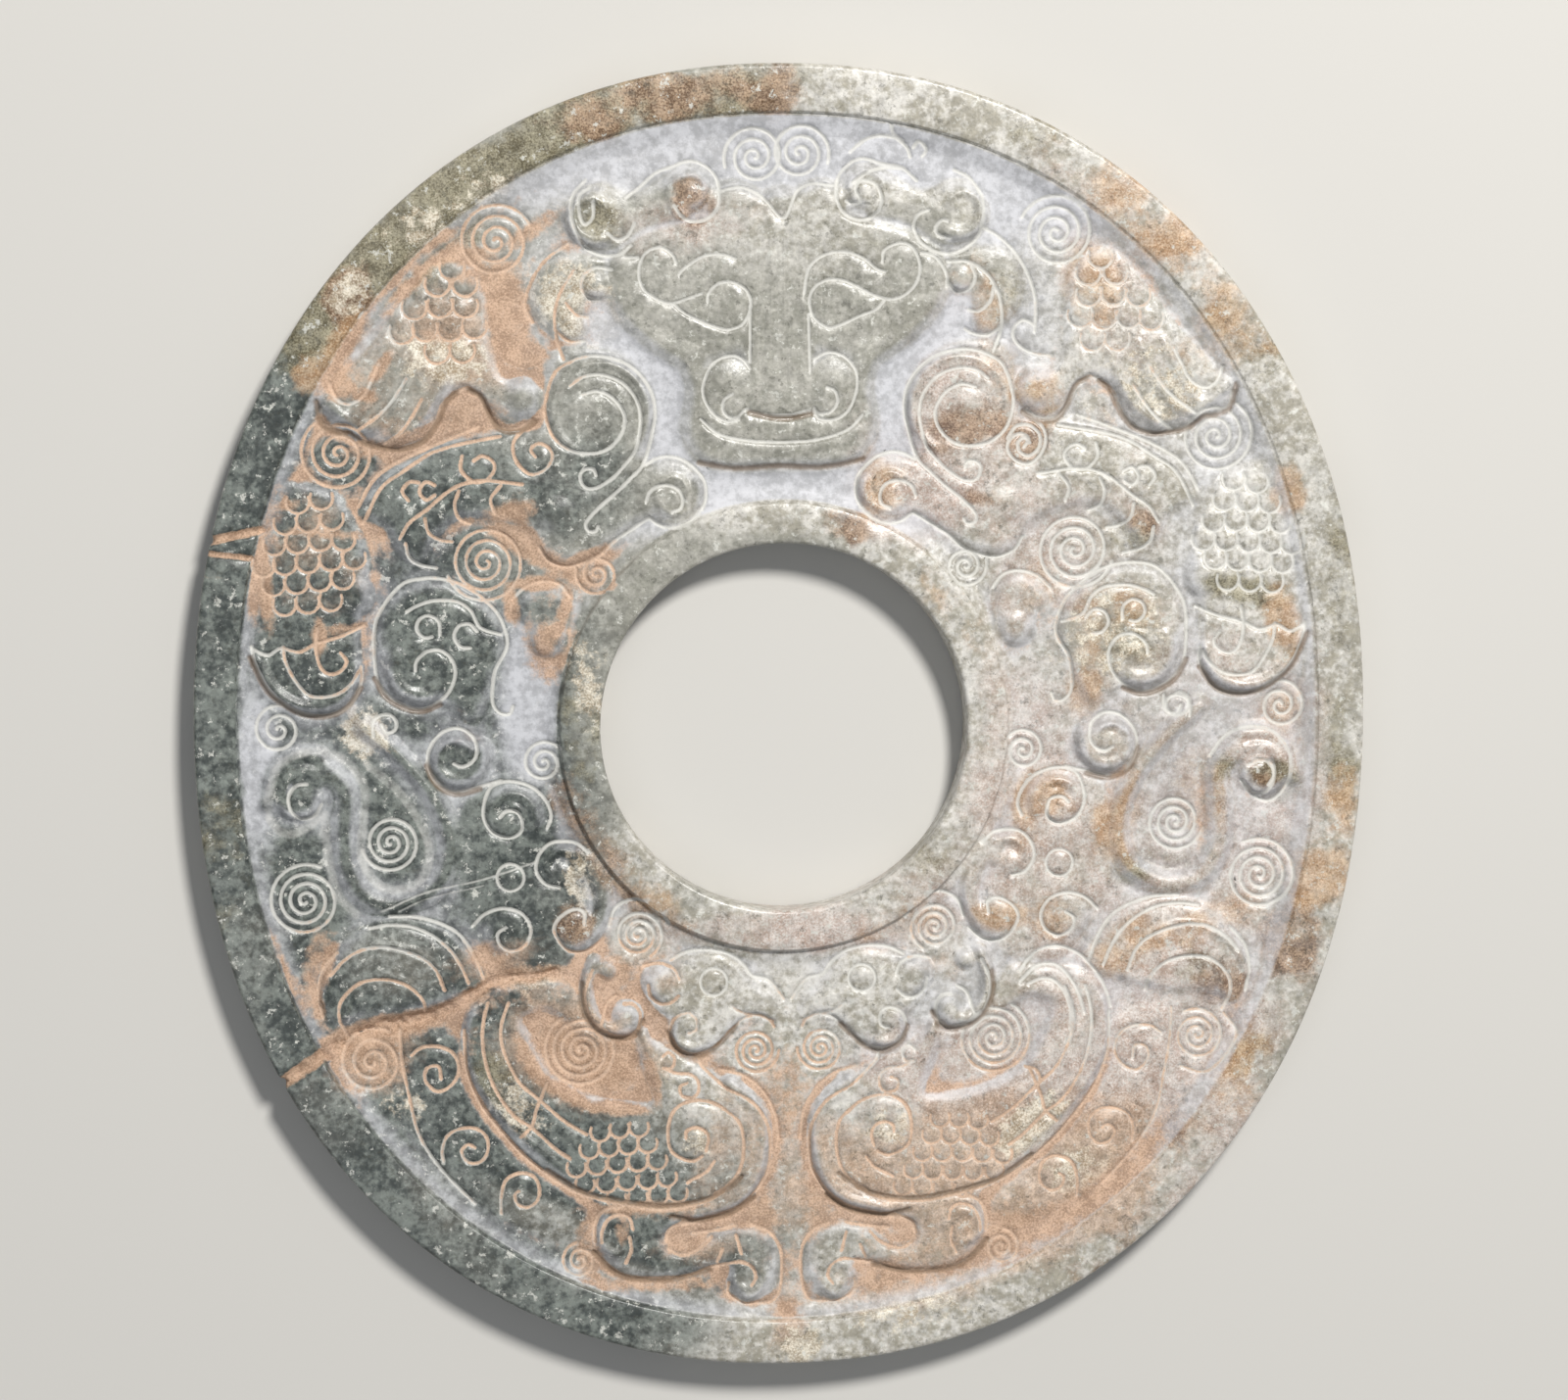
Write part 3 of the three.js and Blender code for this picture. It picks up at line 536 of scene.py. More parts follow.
# %% Relief of the tails, the leaf curls and the fans
tail = [(-84.4, -8.6), (-80.8, -12.8), (-80.9, -20), (-80.4, -27), (-76.6, -32.6),
        (-70, -33.6), (-63.4, -29.6), (-61.6, -22), (-64.6, -13.6), (-71, -6), (-77.4, -0.6)]
fan = [(-55.4, -48.6), (-58, -42), (-63, -37.2), (-70, -35.4), (-77.4, -37.4),
       (-83.4, -42.6), (-86, -49.4), (-83.6, -56.4), (-78, -54.6), (-67, -53.4)]
leaf_ground = [(-58, -14), (-50, -10), (-43, -14), (-41.6, -22), (-36, -27), (-36, -36), (-40, -45),
               (-50, -46.5), (-56, -40), (-60, -30), (-61.5, -22)]
for side in BOTH:
    plate(side(leaf_ground), rise=0.5, foot=1.4, shoulder=1.6, pillow=0.25)
    band(side(tail), 7, 4.4, rise=1.3, slope=3)
    band(side([(-94.6, -14.6), (-93, -9), (-89.6, -6.2), (-85.4, -6.2)]), 4.2, 4.6, rise=1.3,
         slope=2)
    plate(side(fan), rise=0.75, foot=0.8, shoulder=1.4, pillow=0.4)
    band(side([(-37.6, -24.6), (-34.4, -29), (-33.6, -35), (-35.6, -39.6)]), 4.6, 3.2,
         rise=1.3)
bosses([(-88, -14.2, 3.3, 1.7), (-50.5, -28.8, 2.6, 1.2), (-51.4, -38.6, 4.6, 1.35),
        (-38.6, -38.6, 4.1, 1.45), (-51.4, -18.6, 2.6, 1.5), (-41.4, -28.4, 2.4, 1.4)])
scroll((-73.8, -54), 8.6, 7, 20, 0.46, 2.4, rise=1.5)
scroll((-73.2, -53), 13, 12, 14, 0.44, 2.6, rise=1.5)
scroll((-88.6, -13.4), 6.6, 2.4, 40, 1.2, 3.6, rise=1.5)
scroll((-50.6, -17.4), 6.2, 2, -20, 1.3, 3.2, rise=1.4)
scroll((-41.4, -26.6), 4.8, 1.8, -20, 0.9, 3, rise=1.4)
print("forms cover", round(100 * float((relief > 0.3).mean())), "% of the board")

# %% Lines of the tails, the leaf curls and the fans
soft_edges = [
    [(-94.8, -14.3), (-93.3, -8.8), (-90, -5.9), (-85.8, -5.3), (-81.7, -6.3), (-78.8, -8.8),
     (-77.1, -12.6), (-77.5, -19.7), (-77.9, -23.4), (-77.1, -26.8), (-75, -29.7),
     (-72.5, -30.9), (-69.2, -30.7), (-66.7, -28.8), (-65.4, -25.1), (-65.8, -21.3),
     (-68.3, -16.3), (-72.5, -11.3), (-76.7, -7.6)],
    [(-94.8, -14.3), (-94.4, -17.6), (-92.4, -20), (-90, -20.3), (-86.6, -18.6),
     (-84.7, -16.8), (-84.3, -21.3), (-83.4, -27.2), (-81.9, -32.2), (-78.8, -35.4)],
    [(-74.5, -35.2), (-68, -36.4), (-61, -32), (-58.6, -25), (-60.2, -18), (-64.4, -11),
     (-70, -4.4)],
]
# wide and shallow, and rubbed pale on the left side, where the stone is dark
SOFT_EDGE_DUST = (1.8, 1.9, 0.8)
for points, dust in zip(soft_edges, SOFT_EDGE_DUST):
    cut(points, 2.6, 0.17, dust=dust)
    cut(mirrored(points), 2.2, 0.14, dust=0.6)
middle_lines = [
    [(-87.6, -11.2), (-89.4, -11.4), (-90.9, -13.2), (-90.7, -15.9), (-88.8, -17.6),
     (-86.4, -17.2), (-85, -15)],
    [(-52.4, -17.6), (-51.2, -16.5), (-49.1, -16.8), (-48.3, -18.8), (-48.7, -20.5),
     (-50.8, -21.5), (-53.7, -20.5), (-55.3, -18), (-55.3, -15.1), (-54.1, -12.2),
     (-51.6, -11.1), (-48.7, -11.3), (-45.8, -12.6), (-43.7, -15.1), (-43, -17.6),
     (-43.7, -19.7)],
    [(-41.6, -30.7), (-44.1, -30.1), (-45.8, -27.6), (-45.3, -24.7), (-43.3, -22.6),
     (-40.8, -22.2), (-38.3, -22.6), (-36.2, -24.3)],
    [(-51.4, -38), (-52.9, -39.1), (-52.5, -41.2), (-50.2, -42.4), (-47.7, -41.2),
     (-46.8, -38.3), (-48.5, -35.5), (-51.8, -34.5), (-55.2, -35.5), (-57.5, -37.8)],
    [(-37, -37.5), (-37, -35.4), (-39, -34.8), (-41.7, -36.5), (-42.5, -39), (-40, -42.4),
     (-36, -42.5), (-33.3, -40.2)],
    [(-80.6, -57.8), (-82, -54.9), (-81.8, -51.6), (-79.3, -48.7), (-76.4, -47.5),
     (-72.7, -47.5), (-69.3, -48.7), (-66.8, -51.2), (-66.2, -53.3)],
    [(-83.5, -46.6), (-81.4, -44.1), (-78.1, -42), (-74.3, -41.4), (-70.6, -42),
     (-66.8, -43.5), (-64.3, -45.8), (-62.7, -49.5)],
    [(-76.4, -38), (-72.7, -37.4), (-68.5, -37.8), (-64.8, -39.5), (-61.8, -42),
     (-59.8, -44.9), (-58.3, -48.3)],
    [(-72.7, -35.8), (-67.7, -36), (-63.1, -37.4), (-59.8, -39.5), (-57.3, -43.3),
     (-55.6, -47.4)],
    [(-82.3, -42.4), (-85, -45.8), (-85.8, -49.9), (-85, -54.5)],
]
cut_both(middle_lines)
ring_line(-50.5, -28.8)
cut([(-74.5, -35), (-65.8, -31.3), (-59.9, -30.1), (-54.5, -28.8), (-46, -26)], 0.7, 0.26)
cut([(-71, -34.8), (-66, -32.6), (-60, -31.3), (-55.4, -30.2)], 0.6, 0.24)
print("tail, curl and fan lines", len(middle_lines), "a side")

# %% [markdown]
# ## The lower beasts
# Two heads in profile meet below the hole. Each has a deep oval eye hollow with the largest
# spiral in it, a cheek of small scales between two long body lines, a volute for the nose and
# an upturned snout over an open jaw.

# %% Relief of the lower beasts
lower_plates = [
    [(-56.4, -50), (-60.2, -58), (-58.6, -66), (-54.6, -73.4), (-47.6, -81.4), (-40, -87),
     (-34.6, -90.4), (-35.8, -95.6), (-34, -99.6), (-29.6, -103.2), (-22, -104),
     (-14, -101.8), (-10.6, -102), (-10.6, -106), (-7.4, -108.6), (-3, -107.4),
     (-0.9, -102.6), (-2, -96.8), (-6.6, -94.2), (-12.6, -95), (-16.6, -98.6),
     (-20.6, -98.8), (-22, -96), (-18.6, -93.4), (-10.6, -91), (-5, -87), (-2.4, -80.6),
     (-3.4, -73.6), (-8, -69.2), (-14.4, -64.6), (-20, -61.4), (-25.4, -58.4),
     (-30.4, -59.2), (-35.4, -57), (-37.4, -51.6), (-41, -47.6), (-49, -47.8)],
    [(-24.4, -45), (-18.4, -43.8), (-12.6, -42.8), (-8, -45.4), (-5, -49), (-1.6, -52),
     (-1.4, -56.6), (-5, -54.9), (-9, -57), (-12.4, -60.8), (-17, -62), (-20.6, -60),
     (-21.4, -56.4), (-25.4, -52), (-26.4, -48)],
]
wing = [(-71, -57), (-70.6, -62.8), (-69.3, -69.5), (-67.7, -76.2), (-64.3, -82), (-60.2, -86.6),
        (-55, -91), (-48, -94.3), (-40, -95.6), (-36, -92), (-41, -86.5), (-48, -81.4),
        (-54.6, -73.4), (-58.6, -66), (-60, -58)]
eye = [(-49.8, -54.4), (-49, -57.4), (-46.3, -63), (-43.6, -67.2), (-36, -71.1), (-29, -72.2),
       (-24, -71.6), (-23.4, -68.4), (-25.4, -63), (-27.4, -59), (-31, -59), (-35.6, -58.4),
       (-39, -55), (-43.5, -52.2), (-47, -52.6)]
for side in BOTH:
    for outline in lower_plates:
        plate(side(outline))
    plate(side(wing), rise=0.6, foot=1.6, shoulder=2.4, pillow=0.3)
    hollow(side(eye), 0.1, foot=0.2, shoulder=2.4)
    band(side([(-57.6, -54.6), (-57.6, -63), (-53.8, -70.4), (-47.2, -77.6), (-39.6, -84)]),
         3.2, 2.4, rise=1.6)
    band(side([(-52.6, -53.6), (-52.8, -61.4), (-49.2, -68.4), (-43.4, -74.2)]), 3.0, 2.2,
         rise=1.5)
    band(side([(-26.4, -57.6), (-24.4, -62.6), (-22, -67.4), (-21.6, -71), (-25, -73.4)]),
         2.0, 1.5, rise=1.6)
    band(side([(-35.2, -44.4), (-36.6, -48.6), (-35.9, -53.4), (-33.4, -56.6),
               (-29.6, -57.2)]), 2.6, 3.2, rise=1.7)
    band(side([(-10.2, -67.6), (-5, -72.4), (-3.9, -78), (-5.4, -85), (-9, -89.4),
               (-17, -92)]), 3.6, 2.6, rise=1.5)
bosses([(-13.1, -48.4, 2.7, 1.6), (-22.6, -48.8, 3.5, 1.75), (-16.6, -78.2, 3.2, 1.9),
        (-28.4, -81.4, 6.6, 1.5), (-21.5, -63, 1.8, 1.3), (-30.8, -96.2, 2.4, 1.5),
        (-29.2, -54.8, 2.9, 1.9), (-32.6, -46, 1.7, 1.3), (-18.4, -56.4, 2.3, 1.7)])
scroll((-16.6, -77), 6.8, 2.4, 40, 1.25, 4.2)
scroll((-17.4, -57.4), 4.8, 1.8, 300, -1, 2.8)
scroll((-31, -96.4), 5.4, 2.4, 20, 0.75, 3.4)
scroll((-7, -104), 4.8, 1.6, -90, 1.2, 2.8)
print("lower beasts", len(lower_plates), "plates a side")

# %% Lines of the lower beasts
lower_lines = [
    [(-59.1, -57), (-58.9, -63.3), (-57.7, -67.8), (-55.6, -72), (-52.3, -76.2),
     (-48.1, -80.8), (-41.8, -85.8), (-38.1, -87.8), (-33, -89.2), (-25, -90.7), (-20, -90.7),
     (-15, -89.7), (-11, -87.7)],
    [(-54.8, -52), (-55.6, -55.3), (-55.8, -59.5), (-54.8, -64.9), (-52.7, -69.5),
     (-49.8, -73.3), (-46.8, -75.3), (-42.7, -79.1), (-39.8, -81.2)],
    [(-51, -52), (-52.3, -55.8), (-52.3, -59.5), (-51, -63.3), (-48.9, -67), (-45.6, -69.9),
     (-41, -74), (-36.7, -76.7)],
    [(-44, -67), (-45, -69.5), (-46, -72), (-46.8, -75), (-48.8, -77)],
    [(-71, -57), (-70.6, -62.8), (-69.3, -69.5), (-67.7, -76.2), (-64.3, -82), (-60.2, -86.6),
     (-57.3, -89.5)],
    [(-35.5, -46), (-36.5, -48.5), (-37, -51), (-36.4, -54), (-35, -56.5), (-32.5, -58),
     (-29.5, -58.6), (-27.5, -57.8), (-26.8, -56), (-26.8, -54), (-28, -52.5), (-29.7, -52.4)],
    [(-34, -56.5), (-33.3, -54), (-32.5, -52), (-31, -51)],
    [(-25.2, -49), (-24.8, -51), (-23, -52.5), (-21, -52.3), (-19.6, -51)],
    [(-26, -45.5), (-23, -45), (-20.5, -46), (-19.5, -48)],
    [(-21.2, -57.5), (-20.5, -55.5), (-19, -54.5), (-17.5, -54.3), (-16.3, -55.5),
     (-16.4, -57.5), (-17.8, -58)],
    [(-20.8, -59), (-19.5, -61), (-17, -62), (-14.5, -61.6), (-12, -60), (-10.5, -58.2),
     (-8.5, -56.5)],
    [(-9.9, -53), (-7.5, -54.5), (-4.5, -55), (-2, -56)],
    [(-9.5, -57.5), (-7.5, -55.5), (-4.5, -54.9), (-2.5, -56), (-1.8, -57.2)],
    [(-21, -44.5), (-18, -43), (-14, -42.6), (-10, -43.5), (-7.5, -45.5), (-6, -47.5),
     (-3, -48.2), (-1, -50.5), (0, -52)],
    [(-22.6, -62.4), (-21.6, -61.6), (-20.4, -62.6), (-20.8, -64.4), (-22.5, -64.5)],
    [(-22.5, -64.5), (-20, -65.5), (-17.5, -65.7), (-16, -67), (-16, -69), (-17, -70),
     (-19, -69.7), (-19.4, -68), (-18, -67.3)],
    [(-16, -62), (-15.5, -64), (-13, -66.5), (-10.5, -68.5), (-8.5, -69.5), (-6, -71),
     (-4, -73.5), (-2.8, -76.5), (-2.5, -80), (-3, -84), (-4.5, -87)],
    [(-12, -65), (-8, -66), (-5, -68), (-3, -70.5), (-1.5, -74), (-1, -78)],
    [(-15.3, -81), (-17, -81.9), (-19, -81.4), (-21, -80), (-21.6, -77.6), (-21.5, -75),
     (-20.5, -72.4), (-18, -70.8), (-15, -70.6), (-12, -71.7), (-9.8, -73.5)],
    [(-18.3, -77.6), (-18.2, -76.3), (-16.5, -75.6), (-14.7, -76.4), (-14.1, -78),
     (-14.6, -80)],
    [(-10, -73.2), (-8.3, -75), (-7.6, -78), (-7.8, -82), (-9, -85), (-11, -87), (-13, -88.2)],
    [(-18, -86), (-17, -85.3), (-14.5, -84), (-13, -82)],
    [(-34, -97), (-33.8, -94.5), (-32.5, -92.5), (-30.5, -91.8), (-28.8, -92.5),
     (-28.2, -94.5)],
    [(-28.8, -96), (-28.5, -98.5), (-29.5, -101)],
    [(-35.2, -97), (-35.2, -94), (-34, -91.5), (-31.5, -90.1)],
    [(-35, -99), (-32.5, -101.7), (-30, -103.3), (-27, -103.9), (-22, -103.9), (-18, -103.7),
     (-14, -102.2), (-10.5, -101.4), (-8, -101), (-6, -102), (-5.3, -104), (-6.2, -105.5)],
    [(-22, -97), (-21.5, -95), (-19.5, -93.8), (-17.5, -93), (-15.5, -93.2)],
    [(-21.5, -98.5), (-19.5, -99.7), (-17, -99.2), (-15, -98), (-13.5, -96.3)],
    [(-17, -95.7), (-13, -95.2), (-9, -94.3)],
    [(-19, -94), (-15, -93), (-10, -91.5), (-7, -89.5), (-5, -87.5), (-3.5, -85)],
    [(-12.5, -101), (-11.5, -98.5)],
    [(-9, -96), (-8, -99.5)],
    [(-10.3, -105), (-10.3, -107.2), (-7.6, -108.9), (-5, -109), (-2, -108.6), (-0.7, -106),
     (-0.4, -101), (-1, -98), (-3, -95.5), (-6, -94.3)],
    [(-63.5, -66), (-63.9, -63.7), (-66, -64), (-66.4, -66.2), (-64.3, -68.3), (-61.8, -67.4),
     (-60.2, -64.9), (-61, -61.6), (-63.5, -60.1), (-66.8, -60.1), (-68.9, -61.6)],
    [(-57.3, -79), (-58.5, -78.3), (-59.8, -79.5), (-58.9, -81.4), (-56.8, -81.8),
     (-55.2, -80.3), (-55, -77.4), (-56.8, -75.5), (-59.8, -75.3), (-62.3, -76.6),
     (-63.3, -79.1), (-63.1, -81.6)],
    [(-52.5, -91.5), (-52.5, -88), (-51.5, -85), (-49, -83.8), (-46.5, -84.5), (-45.5, -86.5),
     (-45.7, -88.8), (-47.5, -90.2), (-49.5, -89.6), (-50, -87.8), (-49.2, -87.2)],
]
cut_both(lower_lines)
ring_line(-13.1, -48.5)
scales([(-34.2, -76.2), (-30.6, -75.6), (-27, -75.4), (-36.2, -79.4), (-32.6, -79),
        (-29, -78.6), (-25.4, -78.4), (-38.6, -82.8), (-34.8, -82.4), (-31, -82),
        (-27.2, -81.8), (-23.6, -81.6), (-37, -86), (-33, -85.8), (-29.2, -85.4),
        (-25.4, -85.2), (-21.8, -84.8), (-31.2, -88.8), (-27.2, -88.6), (-23.4, -88.2),
        (-19.8, -87.8)], radius=1.8)
print("lower beast lines", len(lower_lines), "a side")

# %% [markdown]
# ## Spirals
# Loose spirals fill the ground between the figures. Each is one line of even pitch, wound from
# a small open eye, so a few numbers say all: centre, radius, turns and where the line ends.

# %% Spirals and the odd small ones of the right side
spiral((-5.4, 103.3), 5.7, 2.9, 200, 1, sides=BOTH[:1])
spiral((2.9, 104), 5.5, 2.9, -20, -1, sides=BOTH[:1])
spiral((-52.7, 87.7), 7.0, 3.5, 25)
spiral((-81.5, 49.2), 7.0, 3.5, 125)
spiral((-54.8, 29.2), 7.3, 3.8, 200)
spiral((-34.4, 27), 4.0, 2.5, 165)
spiral((-92.7, -1.3), 4.9, 2.5, 30)
spiral((-44.3, -7.6), 4.0, 2.4, 40)
spiral((-72.4, -22.2), 5.4, 3.4, 195)
spiral((-88.1, -32.8), 6.8, 3.9, 65)
spiral((-76, -62.8), 6.2, 3.0, 60, sides=BOTH[:1])
spiral((77.5, -59.5), 5.0, 3.0, 120, 1, sides=BOTH[:1])
spiral((-37.5, -61), 7.0, 4.5, 120)
spiral((-5.2, -61.5), 4.3, 3.4, 0, 1, sides=BOTH[:1])
spiral((6.8, -61.2), 4.3, 3.4, 180, -1, sides=BOTH[:1])
spiral((-38, -100.5), 3.4, 2.4, 100)
spiral((-27, -39.7), 4.6, 3.2, -60)
for side in BOTH:
    cut(side([(-32.4, -38), (-31.6, -35.2), (-29.4, -33.4), (-26.4, -33), (-23.2, -34.6),
              (-21.4, -37.6)]))
right_lines = [
    [(45.4, 51), (44.4, 52), (43.2, 51.2), (43.4, 49.4), (45.2, 48.6), (47, 50), (47.2, 52.4),
     (45.4, 54.2), (42.8, 54), (41.2, 51.8)],
    [(72.6, 4), (73.8, 4.8), (75.4, 3.6), (75, 1.4), (73, 0.4), (71, 1.6), (70.8, 4.2)],
    [(86.6, -8.8), (89.1, -8), (91.2, -8.8), (91.4, -10.9), (90.3, -12.6)],
    [(79.5, -7.2), (82, -3.8), (85.3, -2), (88.7, -1.8), (91.6, -3), (94.1, -6.3),
     (94.5, -10.5), (93.3, -13.8), (90.8, -15.7), (87.8, -14.7), (86.2, -12.6)],
    [(82.5, -55.5), (84.8, -59), (83, -63), (79, -66.5), (74.5, -65.5)],
    [(44, -47), (47, -43.5), (51, -42.5), (55, -44), (58, -47), (60, -50.5), (61, -54)],
    [(44, -49), (47, -46.3), (50.5, -46), (53, -48), (55, -51.5), (56, -55)],
    [(45.5, -49.5), (48, -48.5), (50.5, -49), (52.5, -51.5), (53.5, -55), (53.3, -58)],
    [(45, -65), (47, -65.5), (47.8, -67.5), (47, -69)],
]
for points in right_lines:
    cut(points)
print("lines of the right side alone", len(right_lines))

# %% [markdown]
# ## Old damage and wear
# A crack runs from the lower left rim well into the field, and the left rim has a sawn notch
# with a strip of soil. They stay open. Everything raised is softened first, the way handling
# rounds it, and the lines and the damage are cut after that. Where the field meets a rim the
# tool left a soft slope, fuller at the right than at the lower left. The polish left faint
# waves all over, a few hundredths of a millimetre deep.

# %% Undercut edges
undercut = [
    [(-85.4, 58.6), (-84.4, 54.4), (-81.7, 53), (-79.2, 52.8), (-76.7, 51), (-73.4, 50.2),
     (-69.6, 50), (-66, 51.4), (-63.4, 54.8), (-62, 58.2), (-60, 60.2)],
    [(-57.8, 60.8), (-55.4, 59.4), (-53.6, 55.4), (-51.5, 53.3), (-48.4, 53.3), (-45.6, 55)],
    [(-37.4, -48.4), (-37.6, -51.6), (-36.8, -54.6), (-34.6, -57.4), (-31, -59), (-27.4, -58.2),
     (-26.2, -55.6)],
    [(-21.4, -58), (-20, -61), (-17, -62.5), (-14, -61.8), (-11.4, -59.6), (-9, -57)],
    [(-35.4, -99), (-32.6, -102), (-30, -103.7), (-26, -104.3), (-20, -104.2), (-14, -102.6)],
    [(-97.8, 12), (-95, 6.2), (-91.6, 3.2), (-88, 1.4), (-84, 1.1), (-80.4, 2.6), (-77.6, 6.4)],
    [(-75.2, 8), (-73.2, 4.6), (-70, 2.6), (-66.5, 1.9), (-63.2, 3.2)],
    [(-44, -83.4), (-38, -87.2), (-33, -88.7), (-25, -90.1), (-20, -90.2), (-15, -89.3),
     (-11, -87.5), (-8, -85)],
    [(-21, -92.4), (-16, -93.2), (-10, -92), (-5.6, -89)],
    [(-65.8, -8), (-64.6, -11), (-62.4, -12.9), (-59.6, -13.4), (-56, -12.4)],
]
for points in undercut:
    for side in BOTH:
        cut(side(points), 1.3, 0.55, dust=0)
cut([(-15.6, 47.4), (-9, 46.4), (-1, 46.8), (7, 46.6), (14.6, 48)], 1.4, 0.4, dust=0)
cut([(-6.4, 56.6), (-2, 55.6), (1.6, 55.6), (5, 56.4)], 1.3, 0.6, dust=0)
print("undercut edges", len(undercut), "a side, and two on the mask")

# %% Softening, waves and damage
ROUNDING = 0.36
SURROUNDINGS = 2.6


def softened(layer, reach):
    """The layer blurred over a reach in millimetres."""
    half = int(3 * reach / CELL)
    weights = np.exp(-0.5 * (np.arange(-half, half + 1) * CELL / reach) ** 2)
    weights /= weights.sum()
    padded = np.pad(layer, half, mode="edge")
    rows = sum(w * padded[i:i + SHAPE[0], :] for i, w in enumerate(weights))
    return sum(w * rows[:, i:i + SHAPE[1]] for i, w in enumerate(weights))


def waves(reach, seed):
    """Even random waves from -1 to 1 of about the given width."""
    draws = np.random.default_rng(seed)
    spacing = reach / 1.6
    count = (int(SHAPE[0] * CELL / spacing) + 4, int(SHAPE[1] * CELL / spacing) + 4)
    knots = draws.uniform(-1, 1, count)
    v = np.arange(SHAPE[0]) * CELL / spacing
    u = np.arange(SHAPE[1]) * CELL / spacing
    j, i = v.astype(int), u.astype(int)
    fv, fu = ease(v - j)[:, None], ease(u - i)[None, :]
    a, b = knots[j][:, i], knots[j][:, i + 1]
    c, d = knots[j + 1][:, i], knots[j + 1][:, i + 1]
    return (a * (1 - fu) + b * fu) * (1 - fv) + (c * (1 - fu) + d * fu) * fv


def oval_reach(angle, half, centre, fullness):
    """How far an oval's edge is from the hole's centre in each direction. Fullness is the
    exponent of the oval and how much fuller it is at the upper right."""
    exponent = fullness[0] + fullness[1] * np.cos(angle - math.radians(45))
    near, far = np.zeros_like(angle), np.full_like(angle, 200.0)
    for _ in range(40):
        middle = (near + far) / 2
        x = np.abs(middle * np.cos(angle) - centre[0]) / half[0]
        y = np.abs(middle * np.sin(angle) + CENTRE_Y - centre[1]) / half[1]
        is_in = x**exponent + y**exponent < 1
        near, far = np.where(is_in, middle, near), np.where(is_in, far, middle)
    return near


board_x = BOARD_X[None, :]
board_y = BOARD_Y[:, None] - CENTRE_Y
headings = np.linspace(-math.pi, math.pi, 721)
reaches = oval_reach(headings, FIELD_HALF, FIELD_CENTRE, FIELD_EXPONENT)
board_edge = np.interp(np.arctan2(board_y, board_x), headings, reaches)
off_hole = np.hypot(board_x, board_y)
fuller_right = 0.3 * ease((board_x - 10) / 60)
sharper_left = 0.55 * ease((-board_x - board_y - 60) / 40)
outer_fillet = OUTER_FILLET[0] + fuller_right - sharper_left
outer_fillet *= ease(1 - (board_edge - off_hole) / OUTER_FILLET[1])
inner_fillet = INNER_FILLET[0] * ease(1 - (off_hole - RING_RADIUS) / INNER_FILLET[1])
form = softened(np.maximum(relief, np.maximum(outer_fillet, inner_fillet)), ROUNDING)
setting = softened(form, SURROUNDINGS)
corner = ease((setting - form - 0.05) / 0.45)
crown = ease((form - setting - 0.05) / 0.5)
wear = 0.035 * waves(9, 11) + 0.02 * waves(3.5, 12) + 0.012 * waves(1.7, 13)
line_depth = groove_depth * (1 + 0.25 * waves(2.2, 14))
crack = np.zeros(SHAPE)
crack_runs = [
    # points, width at the start and the end, depth
    ([(-96, -68.6), (-91.8, -65.8), (-86, -61.9), (-79.3, -58.2)], 1.8, 3.0, 1.0),
    ([(-79.3, -58.2), (-74.3, -56.4), (-66.8, -54.9), (-61.8, -53)], 3.2, 2.2, 1.15),
    ([(-61.8, -53), (-56.8, -49.9), (-52.3, -47.9), (-46, -47.2), (-42.3, -46.2)], 2.2, 1.0,
     0.7),
]
for points, width, tip, depth in crack_runs:
    for where, gap, along in distance_along(curve(points), 3):
        half = (width + (tip - width) * along) / 2
        share = ease(1.25 - gap / (half + 0.3))
        crack[where] = np.maximum(crack[where], depth * share)
crack *= 1 + 0.45 * waves(1.4, 21)
notch = np.zeros(SHAPE)
for points, width, depth in [([(-104.8, 33.4), (-100, 34.4), (-95.4, 35.3)], 1.3, 0.9),
                             ([(-104.6, 31), (-97.5, 30.2)], 0.9, 0.6),
                             ([(-105.8, 26.9), (-100, 26.5)], 0.5, 0.12)]:
    for where, gap, along in distance_along(curve(points), 2):
        notch[where] = np.maximum(notch[where], depth * ease(1.3 - gap / (width / 2 + 0.2)))
damage = crack + notch
print("tallest form", round(float(form.max()), 2), "mm, deepest line",
      round(float(groove_depth.max()), 2), "mm")

# %% [markdown]
# ## The blank
# The blank is one closed profile turned round the hole: hole wall, inner rim, sunk field, outer
# rim, edge and back. The rings are then pushed out from circles to the ovals of the field and
# of the disc, which is how the real one departs from a true circle, so the rims keep clean
# arrises. The board's heights carve the face.

# %% Turning the blank
STEPS = 2300
FIELD_RINGS = 232
# the blank's field and rim as circles, and half its length once it is an oval
PLAIN_FIELD = 100.0
PLAIN_OUTER = 108.0
PLAIN_LENGTH = 120
# what handling took off the whole face
RUBBED_OFF = 0.05


